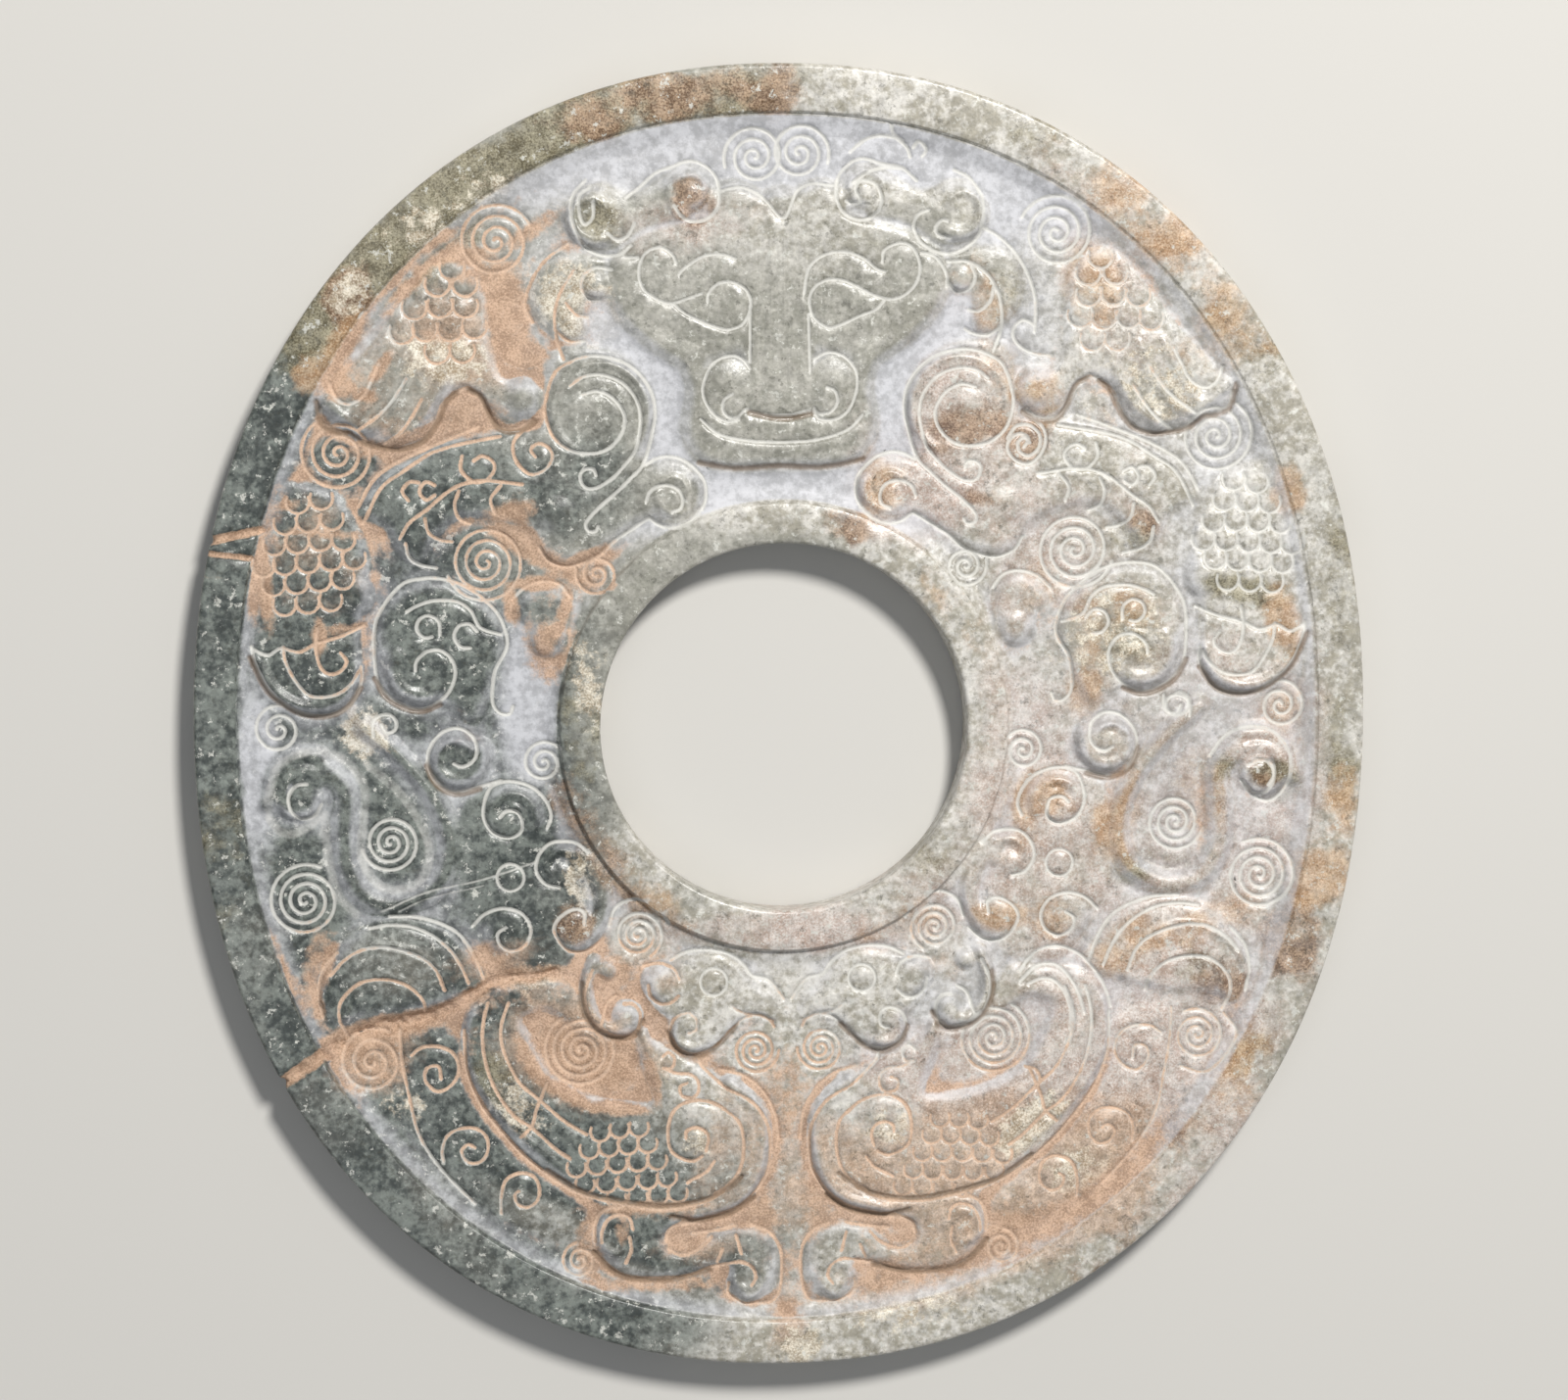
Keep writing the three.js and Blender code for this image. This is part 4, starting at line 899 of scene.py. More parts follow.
def turned_blank():
    """A grid wrapped round the hole's axis, one row for each ring, in millimetres."""
    hole_side = [(HOLE_RADIUS, 7.6), (HOLE_RADIUS + 0.06, 8.4), (HOLE_RADIUS + 0.3, 8.85),
                 (HOLE_RADIUS + 0.8, THICKNESS)]
    inner_rim = [(r, THICKNESS) for r in np.linspace(HOLE_RADIUS + 1.6, RING_RADIUS - 0.5, 7)]
    # the rims' walls: how far into the field and how high, from the rim to the floor
    wall = [(0.0, THICKNESS), (0.22, 8.86), (0.42, 8.3), (0.62, 7.6), (0.95, 7.14),
            (1.5, FIELD_FLOOR)]
    inner_wall = [(RING_RADIUS + d - 0.2, z) for d, z in wall]
    field = [(r, FIELD_FLOOR) for r in
             np.linspace(RING_RADIUS + 1.55, PLAIN_FIELD - 1.55, FIELD_RINGS)]
    outer_wall = [(PLAIN_FIELD - d + 0.2, z) for d, z in reversed(wall)]
    outer_rim = [(r, THICKNESS) for r in np.linspace(PLAIN_FIELD + 0.8, PLAIN_OUTER - 1.5, 8)]
    round_over = [(0.8, THICKNESS), (0.36, 8.88), (0.1, 8.55), (0.0, 8.1)]
    edge = [(PLAIN_OUTER - d, z) for d, z in round_over]
    edge += [(PLAIN_OUTER, 5.4), (PLAIN_OUTER, 2.8)]
    edge += [(PLAIN_OUTER - d, THICKNESS - z) for d, z in reversed(round_over)]
    back_rim = [(r, 0.0) for r in np.linspace(PLAIN_OUTER - 2.4, PLAIN_FIELD + 0.4, 4)]
    back_field = [(r, BACK_FLOOR) for r in
                  np.linspace(PLAIN_FIELD - 0.5, RING_RADIUS + 0.5, 34)]
    back_inner = [(r, 0.0) for r in np.linspace(RING_RADIUS - 0.4, HOLE_RADIUS + 0.8, 5)]
    back_hole = [(r, THICKNESS - z) for r, z in reversed(hole_side[:3])]
    rings = np.array(hole_side + inner_rim + inner_wall + field + outer_wall + outer_rim
                     + edge + back_rim + back_field + back_inner + back_hole + hole_side[:1])
    bm = bmesh.new()
    bmesh.ops.create_grid(bm, x_segments=STEPS, y_segments=len(rings) - 1, size=1)
    mesh = bpy.data.meshes.new("blank")
    bm.to_mesh(mesh)
    grid = points_of(mesh)
    row = np.rint((grid[:, 1] + 1) / 2 * (len(rings) - 1)).astype(int)
    turn = -math.pi * np.rint((grid[:, 0] + 1) * STEPS / 2) * 2 / STEPS
    radius, height = rings[row, 0], rings[row, 1]
    wrapped = np.column_stack([radius * np.cos(turn), radius * np.sin(turn), height])
    mesh.vertices.foreach_set("co", wrapped.ravel())
    bm.clear()
    bm.from_mesh(mesh)
    seam = [v for v in bm.verts if v.is_boundary]
    bmesh.ops.remove_doubles(bm, verts=seam, dist=1e-4)
    bmesh.ops.recalc_face_normals(bm, faces=bm.faces)
    bm.to_mesh(mesh)
    bm.free()
    return mesh


def points_of(mesh):
    """The mesh's points, one row each."""
    flat = np.empty(len(mesh.vertices) * 3)
    mesh.vertices.foreach_get("co", flat)
    return flat.reshape(-1, 3)


def sample(layer, x, y):
    """The layer's value at points in millimetres, between the cells."""
    u = np.clip((x - BOARD_X[0]) / CELL, 0, SHAPE[1] - 1.001)
    v = np.clip((y - BOARD_Y[0]) / CELL, 0, SHAPE[0] - 1.001)
    i, j = u.astype(int), v.astype(int)
    fu, fv = u - i, v - j
    low = layer[j, i] * (1 - fu) + layer[j, i + 1] * fu
    high = layer[j + 1, i] * (1 - fu) + layer[j + 1, i + 1] * fu
    return low * (1 - fv) + high * fv


blank = turned_blank()
p = points_of(blank)
angle = np.arctan2(p[:, 1], p[:, 0])
radius = np.hypot(p[:, 0], p[:, 1])
field_reach = oval_reach(angle, FIELD_HALF, FIELD_CENTRE, FIELD_EXPONENT)
outer_reach = oval_reach(angle, OUTER_HALF, (0, 0), OUTER_EXPONENT)
in_field = (radius - RING_RADIUS) / (PLAIN_FIELD - RING_RADIUS)
in_rim = (radius - PLAIN_FIELD) / (PLAIN_OUTER - PLAIN_FIELD)
over_field = RING_RADIUS + in_field * (field_reach - RING_RADIUS)
over_rim = field_reach + in_rim * (outer_reach - field_reach)
pushed = np.where(radius < RING_RADIUS, radius, over_field)
pushed = np.where(radius > PLAIN_FIELD, over_rim, pushed)
x = pushed * np.cos(angle)
y = pushed * np.sin(angle) + CENTRE_Y
is_face = p[:, 2] > 6.5
is_carved = is_face & (radius > RING_RADIUS - 0.1) & (radius < PLAIN_FIELD + 0.1)
is_back = p[:, 2] < 2
face_height = np.maximum(p[:, 2], np.where(is_carved, FIELD_FLOOR + sample(form, x, y), 0))
cuts = sample(line_depth, x, y) * is_carved
face_height += sample(wear, x, y) - cuts - sample(damage, x, y) - RUBBED_OFF
face_height = np.minimum(face_height, THICKNESS)
back_height = np.maximum(p[:, 2] + 0.6 * np.abs(sample(wear, -x, y)), 0)
z = np.where(is_face, face_height, np.where(is_back, back_height, p[:, 2]))
# where the damage runs over the edge it takes a chip out of the wall as well
chip = sample(damage, x, y) * 0.5 * (radius > PLAIN_OUTER - 0.5)
x, y = x * (1 - chip / PLAIN_OUTER), y * (1 - chip / PLAIN_LENGTH)
blank.vertices.foreach_set("co", (np.column_stack([x, y, z]) * MM).ravel())
blank.update()
print("carved blank", len(blank.polygons), "quads")

# %% [markdown]
# ## One light piece
# Most of that mesh lies on smooth ground, where it isn't needed. Collapsing its edges where
# they matter least leaves the triangles to the lines and the shoulders of the figures.

# %% Thinning the mesh
TRIANGLES = 192_000
source = bpy.data.objects.new("carved blank", blank)
bpy.context.scene.collection.objects.link(source)
thin = source.modifiers.new("thin", "DECIMATE")
thin.ratio = TRIANGLES / (2 * len(blank.polygons))
shape = bpy.data.meshes.new_from_object(
    source.evaluated_get(bpy.context.evaluated_depsgraph_get()))
shape.name = "jade_bi_disc"
lowest, highest = np.array(loaded_size[0]), np.array(loaded_size[1])
shape.vertices.foreach_set("co", np.clip(points_of(shape), lowest, highest).ravel())
shape.update()
bpy.data.objects.remove(source)
bpy.data.meshes.remove(blank)
disc = bpy.data.objects.new("jade_bi_disc", shape)
bpy.context.scene.collection.objects.link(disc)
shape.shade_smooth()
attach(disc, "root")
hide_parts("jade_disc")
print("disc", len(shape.vertices), "points", len(shape.polygons), "triangles")

# %% [markdown]
# ## Where burial coloured the stone
# The left half stayed dark grey-green and the right half bleached to a pale warm grey, pink in
# places. Iron stained the rims olive, rust and ochre, and a pale pitted crust grew on some of
# the carving. Low ground kept a bluish white bloom that handling wore off the raised forms,
# the lines hold whitish dust, and orange soil sits in the lines and corners, tan where it is
# thin. In a few places it is packed over the figures too. Soft spots on the board say where
# each is strong; the material breaks up their edges.

# %% Stains and soil on the board
STAINS = {
    # each spot: centre x and y, half width, half height, tilt in degrees, strength
    "dark": [
        (-74, -14, 40, 62, 0, 1.0), (-58, -78, 40, 30, -35, 1.0), (-104, 10, 14, 62, 0, 1.0),
        (-80, 38, 22, 20, 0, 0.75), (-24, -94, 26, 18, 0, 0.8), (-60, 48, 14, 8, 0, 0.6),
        (-96, 62, 8, 20, -25, 0.9), (-34, 58, 14, 12, 0, 0.35), (30, -93, 24, 8, 20, 0.3),
        (-30, -112, 20, 6, -12, 1.0), (-46, -30, 14, 16, 0, 0.6), (-61, 76, 4, 4, 0, 0.7),
        (-84, 20, 8, 6, 0, 0.5), (-37, 42, 12, 9, 0, 0.6), (-56, -8, 12, 12, 0, 0.5),
        (-98, 58, 6, 16, -20, 0.8), (-62, 76, 7, 6, 0, 0.6), (107, 28, 6, 22, 0, 0.4),
        (-64, -14, 4, 14, 15, 0.9), (-76, -24, 4, 10, 0, 0.5), (-90, 58, 5, 8, -30, 0.9),
        (-56, -6, 7, 7, 0, 0.9), (-54, -66, 6, 6, 0, 0.9), (-18, 115, 8, 5, 0, 0.35),
        (102, 30, 6, 16, 0, 0.45), (26, -25, 6, 6, 0, 0.5)],
    "pale": [
        (62, 6, 46, 84, 0, 1.0), (36, -60, 56, 44, 0, 0.9), (60, 96, 34, 18, -40, 0.9),
        (18, -117, 28, 8, 5, 0.9), (-2, -50, 34, 16, 0, 0.8), (104, -8, 10, 50, 0, 0.45),
        (36, 112, 44, 12, -15, 0.95), (30, -108, 50, 14, 15, 0.9), (28, 30, 12, 12, 0, 1.0),
        (0, 38, 20, 4, 0, 0.8), (0, -38.5, 28, 4, 0, 1.0), (-27, -27, 7, 9, 45, 0.8),
        (88, 66, 16, 18, -55, 0.9), (-12, -66, 12, 8, 0, 0.6), (2, 90, 18, 9, 0, 0.55),
        (20, 104, 44, 9, -10, 0.8), (60, 14, 12, 12, 0, 0.8), (68, 60, 16, 10, 0, 0.8),
        (-26, 104, 22, 6, 20, 0.5), (-72, -44, 10, 7, 0, 0.35), (-84, -73, 8, 8, 0, 0.25),
        (-98, -40, 5, 10, 0, 0.25), (-44, -93, 16, 4, -28, 0.4), (-28, -104.5, 14, 3, -8, 0.5),
        (-62, -92, 5, 14, 38, 0.3)],
    "olive": [
        (-20, 113, 22, 5, 10, 0.85), (104, 30, 4, 18, 0, 0.4), (-54, -66, 5, 5, 0, 0.5),
        (27, -25, 5, 5, 0, 0.4), (-70, 86, 26, 7, 44, 0.9), (-42, 107, 20, 5, 26, 0.9),
        (-86, 74, 7, 8, 0, 0.8), (88, 68, 14, 5, -52, 0.45), (45, 111, 8, 5, -20, 0.45),
        (33, 93, 6, 9, 20, 0.35), (64, 34, 4, 3, 0, 0.8), (70, -12, 12, 26, 10, 0.3),
        (-36, 92, 7, 8, 0, 0.6), (43, 80, 5, 8, 0, 0.35), (-104, -30, 5, 24, 0, 0.35),
        (85, 24, 8, 3, -10, 0.8), (62, 16, 6, 5, 0, 0.5), (91, -12, 6, 4, 0, 0.8),
        (81, -9, 4, 3, 0, 0.7), (104, -6, 3, 10, 0, 0.6), (64, -28, 4, 3, 0, 0.5),
        (79, -47, 7, 4, 0, 0.5), (-37, 0, 4, 12, 0, 0.5), (-62, 56, 8, 4, 0, 0.3),
        (88, -64, 5, 6, -30, 0.5)],
    "rust": [
        (-24, 113, 19, 5, 11, 0.75), (0, 115, 4, 5, 0, 0.7), (73, 86, 7, 4, -45, 0.6),
        (95, -41, 6, 9, -20, 0.85), (-17, 95, 4, 5, 0, 0.8), (-79, 77, 5, 6, 48, 0.9),
        (82, -50, 6, 4, 0, 0.9), (35, 55, 6, 4, 0, 0.9), (31, 52, 5, 4, 0, 0.5),
        (45, 51, 5, 4, 0, 0.6), (37, 41, 4, 2, 0, 0.7), (12, 36, 5, 3, -25, 0.7),
        (-36, 27, 5, 4, 0, 0.4), (-34, -24, 4, 16, 30, 0.7), (-39, -37, 4, 4, 0, 0.9),
        (-29, -49, 4, 4, 0, 0.6), (75, -78, 6, 7, -40, 0.6), (-57, -1, 4, 3, 0, 0.4),
        (66, 36, 3, 3, 0, 0.6), (60, -102, 8, 4, 38, 0.5), (88, -13, 5, 3, 0, 0.6)],
    "ochre": [
        (-84, 64, 5, 3.5, 30, 1.0), (-78, 72, 6, 2.5, 50, 0.7), (66, 93, 18, 6, -42, 0.7),
        (84, 74, 10, 4, -48, 0.5), (94, 42, 3, 5, 0, 0.9), (99, -30, 6, 7, -10, 0.9),
        (31, 20, 4, 8, 30, 0.5), (-22, -34, 12, 3, -35, 0.5), (-60, 66, 6, 4, 0, 0.4),
        (93, 16, 3, 9, 10, 0.7), (56, 8, 4, 10, 0, 0.7), (62, -20, 4, 7, 0, 0.9),
        (64, -12, 5, 5, 0, 0.5), (48, 23, 4, 8, 0, 0.5), (36, 78, 4, 7, 20, 0.5),
        (56, 80, 5, 9, 0, 0.6), (80, 68, 6, 8, -50, 0.5), (17, 44, 6, 6, 0, 0.6),
        (92, 2, 5, 5, 0, 0.6), (104, -16, 3, 6, 0, 0.6), (22, -38, 8, 5, 0, 0.5),
        (47, -14, 6, 6, 0, 0.7), (42, -22, 5, 5, 0, 0.5), (64, -42, 8, 5, 30, 0.6),
        (84, -36, 8, 4, 0, 0.5), (78, -14, 5, 10, 0, 0.5), (72, -40, 8, 3, 0, 0.5),
        (86, -66, 8, 8, 0, 0.5), (60, 20, 8, 5, 0, 0.5), (40, 66, 5, 8, 0, 0.4),
        (48, 60, 5, 5, 0, 0.6), (88, 84, 6, 4, -45, 0.5), (40, -37, 6, 3, 0, 0.7),
        (50, -37, 4, 4, 0, 0.6), (30, -46, 6, 4, 0, 0.4)],
    "pink": [
        (56, 34, 14, 12, 0, 0.4), (78, -16, 20, 32, 0, 0.6), (30, 52, 16, 16, 0, 0.6),
        (22, 42, 12, 9, 0, 0.7), (50, 10, 12, 34, 10, 0.5), (44, -14, 10, 16, 0, 0.7),
        (40, -36, 30, 12, 0, 0.5), (70, -58, 26, 18, 0, 0.7), (40, -66, 26, 12, 0, 0.7),
        (0, -39, 26, 4, 0, 0.7), (60, 66, 12, 16, 0, 0.3), (92, -10, 10, 26, 0, 0.4),
        (84, -86, 20, 12, 45, 0.6), (-10, 94, 10, 5, 0, 0.3), (-22, 90, 12, 6, 0, 0.4),
        (34, 70, 8, 12, 0, 0.4), (60, 92, 16, 8, -40, 0.5)],
    "tan": [
        (1, -112, 3, 6, 0, 0.9), (34, -82, 30, 12, 8, 0.8), (40, -97, 30, 8, 20, 0.75),
        (60, -84, 14, 10, 40, 0.7), (-68, 66, 16, 12, 45, 0.5), (-54, 72, 8, 12, 0, 0.6),
        (-4, -84, 14, 16, 0, 0.5), (-76, -62, 9, 8, 0, 0.55), (-38, -62, 15, 11, -20, 0.8),
        (-84, 32, 10, 12, 0, 0.35), (-54, -44, 10, 4, 15, 0.6), (-26, -46, 12, 6, 0, 0.4),
        (-18, -99, 8, 4, 0, 0.4)],
    "crust": [
        (60, 15, 10, 9, 0, 0.4), (68, 60, 12, 8, 0, 0.45), (-39, 77, 8, 6, -30, 0.9),
        (-35, 73, 5, 4, 0, 1.0), (-62, 66, 8, 4, 0, 0.8), (-77, -2, 4, 5, 30, 0.9),
        (-46, -47.5, 5, 2, 10, 1.0), (-79, 78, 3, 5, -45, 0.9), (-50, -72, 6, 4, -40, 0.6),
        (46, -76, 8, 4, 40, 1.0), (56, -85, 7, 5, 0, 0.6), (3, -117, 4, 4, 0, 0.9),
        (-38, -30, 3, 6, 0, 0.6), (19, -76, 4, 3, 0, 0.7), (-66, 90, 5, 4, 40, 0.6),
        (-36, 7, 3, 8, 10, 0.6), (-54, 97, 6, 3, 35, 0.5), (25, -110, 12, 3, 10, 0.5),
        (-16, -78, 3, 2.5, 0, 0.8), (-70, -71, 4, 3, 0, 0.5)],
    "bloom": [
        (2, 72, 46, 40, 0, 1.0), (30, 104, 50, 12, -12, 1.0), (-30, 104, 26, 6, 20, 0.8),
        (-97, -8, 5, 16, 0, 0.8), (0, 42, 44, 8, 0, 1.0), (-47, 4, 6, 18, 0, 0.9),
        (88, 44, 16, 36, 0, 0.6), (80, -8, 14, 18, 0, 0.35), (-60, -102, 18, 4, -35, 0.5),
        (-30, -108, 20, 2.5, -12, 0.6), (50, -20, 50, 50, 0, 0.25), (-80, -78, 6, 16, 40, 0.3)],
    "soil": [
        (-94, 35, 3, 8, 8, 1.0), (62, -14, 2.5, 12, 0, 0.5), (79, -18, 2.5, 14, 0, 0.5),
        (-83, 68, 10, 2, 57, 1.0), (-71, 83, 10, 2, 43, 1.0), (-67, 80, 7, 1.6, 35, 1.0),
        (-60, 84.5, 7, 1.8, 10, 1.0), (-51, 74, 5, 9, 5, 1.0), (-55, 81, 6, 3, 0, 0.8),
        (-47, 67, 4, 3, 0, 1.0), (-80, 62, 6, 4, 25, 0.9), (-57, 56, 8, 5, 0, 1.0),
        (-70, 52, 11, 2.5, 15, 0.9), (-97, 29, 3, 12, 6, 1.0), (-93, 41, 4, 3, -40, 0.7),
        (-43, 16, 5, 9, 0, 0.9), (-46, 32, 10, 3, -30, 1.0), (-50, 38, 5, 5, 0, 0.7),
        (-93, -46, 12, 2, -70, 1.0), (-84, -66, 11, 2.4, -56, 1.0), (-76, -62, 8, 7, 0, 0.7),
        (-86, -46, 3, 9, -10, 0.7), (-54, -43, 7, 3, 20, 0.9), (-46, -50, 13, 4, 12, 0.9),
        (-38, -62, 15, 10, -20, 0.85), (-33, -47, 5, 4, 0, 1.0), (-58, -58, 2, 7, 0, 0.8),
        (-5, -88, 3.5, 18, 0, 0.75), (6, -88, 3, 16, 0, 0.65), (-12, -92, 12, 3, -10, 0.9),
        (-27, -91, 10, 2, -5, 1.0), (-36, -98, 3, 8, 0, 0.8), (-18, -98, 6, 3, 0, 0.9),
        (-24, -105, 14, 1.6, 0, 0.8), (0, -70, 6, 10, 0, 0.6), (28, -80, 22, 9, 4, 0.75),
        (34, -98, 32, 6, 17, 0.85), (50, -101, 26, 2.4, 27, 1.0), (62, -84, 12, 8, 50, 0.8),
        (13, -92, 7, 8, 0, 0.75), (56, -74, 8, 5, 0, 0.7), (0, -112, 3, 4, 0, 0.9),
        (-37, -106, 4, 2, 0, 0.8), (-30, -60, 3, 6, 20, 0.9), (-36, 27, 4, 4, 0, 0.6),
        (-88, 34, 6, 6, 0, 0.4), (-84, -60.5, 7, 2.6, 28, 1.0), (-71, -56, 11, 2.8, 14, 1.0),
        (-57, -50.5, 8, 2.8, 28, 1.0), (-48, -47.4, 7, 2.4, 8, 1.0)],
    "packed soil": [
        (-82.5, 63, 3, 4.5, 20, 0.85), (-79, 70.5, 6, 1.7, 60, 0.85), (-72, 81, 8, 1.9, 47, 0.85),
        (-64, 87.5, 5, 1.6, 30, 0.8), (-78.5, 60.5, 5, 1.6, -15, 0.8),
        (-73.5, 65, 4, 1.4, 55, 0.75), (-49, 72, 1.5, 9, 5, 0.9), (-46, 66.5, 3.5, 1.4, 10, 0.8),
        (-54, 82, 7, 2, 10, 0.7), (-46, 90, 7, 1.7, 35, 0.7), (-95.5, 28, 1.7, 11, 6, 0.9),
        (-91.5, 40.5, 3, 1.3, -35, 0.85), (-83, 34.5, 9, 1, -3, 0.7), (-50, 21, 1.6, 4, 10, 0.85),
        (-45.5, 25.3, 5, 1.4, 0, 0.9), (-40.5, 20.5, 1.5, 5, -15, 0.8),
        (-44, 15, 2.4, 3.6, 0, 0.7), (-47, 34, 4, 1.8, -50, 0.8), (-50, 38.5, 5, 2, 10, 0.85),
        (-38, 29.5, 8, 1.3, 25, 0.85), (-85, 16, 1.3, 4, 0, 0.8), (-80, 17.5, 5, 1.1, 10, 0.7),
        (-84, -44, 1.5, 5, -15, 0.8), (-66, 53, 12, 1.4, 20, 0.75), (-86, -52, 1.4, 5, 10, 0.7),
        (-63, 71, 5, 2, 0, 0.5), (-47.5, -62.5, 1.7, 6, 30, 0.8), (-40.5, -69, 6, 1.7, -32, 0.85),
        (-31, -71.8, 6, 1.5, -6, 0.85), (-24.5, -66.5, 1.5, 6, 14, 0.75),
        (-26, -90.6, 14, 1.3, 2, 0.75), (-30, -94, 1.4, 4, 0, 0.6)],
    "soil in lines": [
        (-54, 74, 18, 24, 0, 0.95), (-63, 46, 24, 12, 22, 0.95), (-86, 32, 13, 17, 0, 0.95),
        (-81, 49, 10, 9, 0, 1.0), (-54, 32, 10, 12, 0, 0.7), (-34, 27, 7, 6, 0, 0.9),
        (-84, 12, 8, 8, 0, 0.8), (-62, -60, 16, 17, 0, 0.9), (-42, -66, 22, 26, 0, 1.0),
        (-26, -80, 24, 16, 0, 1.0), (-88, -50, 8, 16, -20, 0.7), (-20, -96, 24, 14, 0, 0.95),
        (0, -82, 16, 30, 0, 0.9), (-78, -54, 12, 12, 0, 0.8), (34, -84, 40, 22, 15, 0.95),
        (60, 72, 14, 18, 0, 0.5), (50, 15, 10, 14, 0, 0.4), (76, -58, 14, 12, 0, 0.5),
        (26, -40, 8, 6, 0, 0.4), (-8, -62, 10, 8, 0, 0.4), (92, -10, 8, 30, 0, 0.3),
        (-30, -50, 12, 10, 0, 0.9)],
}


def stained(spots):
    """Soft-edged spots, joined so that overlaps don't add up past full strength."""
    bare = np.ones(SHAPE)
    for x, y, half_x, half_y, tilt, strength in spots:
        lean = math.radians(tilt)
        where, across, up = window(np.array([(x, y)]), 1.7 * max(half_x, half_y))
        along = ((across - x) * math.cos(lean) + (up - y) * math.sin(lean)) / half_x
        aside = ((up - y) * math.cos(lean) - (across - x) * math.sin(lean)) / half_y
        bare[where] *= 1 - strength * ease(1.5 - np.hypot(along, aside))
    return 1 - bare


def put_attribute(name, values):
    """One value for each point of the disc, for the material to read."""
    shape.attributes.new(name, "FLOAT", "POINT").data.foreach_set("value", values)


where = points_of(shape) / MM
on_face = (where[:, 2] > 5) * 1.0
around = np.arctan2(where[:, 1] - CENTRE_Y, where[:, 0])
from_hole = np.hypot(where[:, 0], where[:, 1] - CENTRE_Y)
field_edge = oval_reach(around, FIELD_HALF, FIELD_CENTRE, FIELD_EXPONENT)
in_sunk = on_face * ease(from_hole - RING_RADIUS) * ease(field_edge - from_hole)
IN_FIELD_ONLY = ("soil", "packed soil", "bloom")
for name, spots in STAINS.items():
    values = sample(stained(spots), where[:, 0], where[:, 1])
    put_attribute(name, values * in_sunk if name in IN_FIELD_ONLY else values)
low_ground = 1 - ease(softened(relief, 0.8))
rise_y, rise_x = np.gradient(softened(form, 1.1), CELL)
slope = ease((np.hypot(rise_x, rise_y) - 0.1) / 0.3)
for name, layer in [("line", groove_dust), ("ground", low_ground), ("corner", corner),
                    ("crown", crown), ("slope", slope), ("shaded", shaded)]:
    is_here = on_face if name == "line" else in_sunk
    put_attribute(name, sample(layer, where[:, 0], where[:, 1]) * is_here)
edge_strip = ease(1.2 - (field_edge - from_hole) / 4.5)
put_attribute("field edge", edge_strip * in_sunk)
broken = np.clip(crack / 0.6 + notch / 0.5, 0, 1)
put_attribute("broken", sample(broken, where[:, 0], where[:, 1]) * on_face)
print("attributes", [a.name for a in shape.attributes if not a.name.startswith(".")])

# %% [markdown]
# ## Unwrapping for the bake
# A disc unwraps best as it lies: the face and the back side by side, seen square on, and the
# two narrow walls as strips under them.

# %% The bake's map


def unwrap():
    """Face and back as flat islands, the outer edge and the hole wall as strips."""
    layer = shape.uv_layers.new(name="OFBake")
    corner_points = np.empty(len(shape.loops), dtype=np.int32)
    shape.loops.foreach_get("vertex_index", corner_points)
    normals = np.empty(len(shape.polygons) * 3)
    shape.polygons.foreach_get("normal", normals)
    middles = np.empty(len(shape.polygons) * 3)
    shape.polygons.foreach_get("center", middles)
    sides = np.empty(len(shape.polygons), dtype=np.int32)
    shape.polygons.foreach_get("loop_total", sides)
    normals = normals.reshape(-1, 3).repeat(sides, axis=0)
    middles = middles.reshape(-1, 3).repeat(sides, axis=0) / MM
    at = where[corner_points]
    # steep faces near the hole and near the outer edge; the relief's own slopes aren't walls
    is_wall = (np.abs(normals[:, 2]) < 0.35) & (
        (np.hypot(middles[:, 0], middles[:, 1] - CENTRE_Y) < HOLE_RADIUS + 0.5)
        | (np.hypot(middles[:, 0] / OUTER_HALF[0], middles[:, 1] / OUTER_HALF[1]) > 0.985))
    is_hole = is_wall & (np.hypot(middles[:, 0], middles[:, 1]) < RING_RADIUS)
    own = np.arctan2(at[:, 1] - CENTRE_Y, at[:, 0])
    middle = np.arctan2(middles[:, 1] - CENTRE_Y, middles[:, 0])
    turn = middle + (own - middle + math.pi) % (2 * math.pi) - math.pi
    island = 2.06 * OUTER_HALF[1]
    is_under = ~is_wall & (middles[:, 2] < 4.5)
    u = np.where(is_under, 0.75 - at[:, 0] / (2 * island), 0.25 + at[:, 0] / (2 * island))
    v = 0.56 + at[:, 1] / (2 * island)
    u = np.where(is_wall, 0.5 + turn / (2 * math.pi) * 0.94, u)
    v = np.where(is_wall, np.where(is_hole, 0.16, 0.05) + at[:, 2] / THICKNESS * 0.04, v)
    layer.data.foreach_set("uv", np.column_stack([u, v]).ravel())


unwrap()
print("map", shape.uv_layers[0].name)

# %% [markdown]
# ## Nephrite, bloom, dust and soil
# Nephrite is a felt of fine fibres, so it is cloudy rather than veined, with pale and dark
# grains, and it takes a waxy polish. The groups below make clouds, ragged masks and grains,
# and the material lays the colours over each other in the order that they came: stone,
# bleaching, iron stains, bloom, dust in the lines, and soil. Over all that goes a painted
# shade, mixed with darker soil, along the undercut edges.

# %% Small helpers for node trees


def srgb(red, green, blue):
    """A colour as seen, from 0 to 255, in the linear values that the renderer works in."""
    def linear(value):
        value /= 255
        return value / 12.92 if value <= 0.04045 else ((value + 0.055) / 1.055) ** 2.4
    return (linear(red), linear(green), linear(blue), 1)


def put(tree, kind, place, inputs=None, **settings):
    """A node with its settings; inputs are values or the outputs of other nodes."""
    node = tree.nodes.new(kind)
    node.location = place
    for key, value in settings.items():
        setattr(node, key, value)
    for key, value in (inputs or {}).items():
        socket = node.inputs[key]
        if isinstance(value, bpy.types.NodeSocket):
            tree.links.new(value, socket)
        else:
            socket.default_value = value
    return node


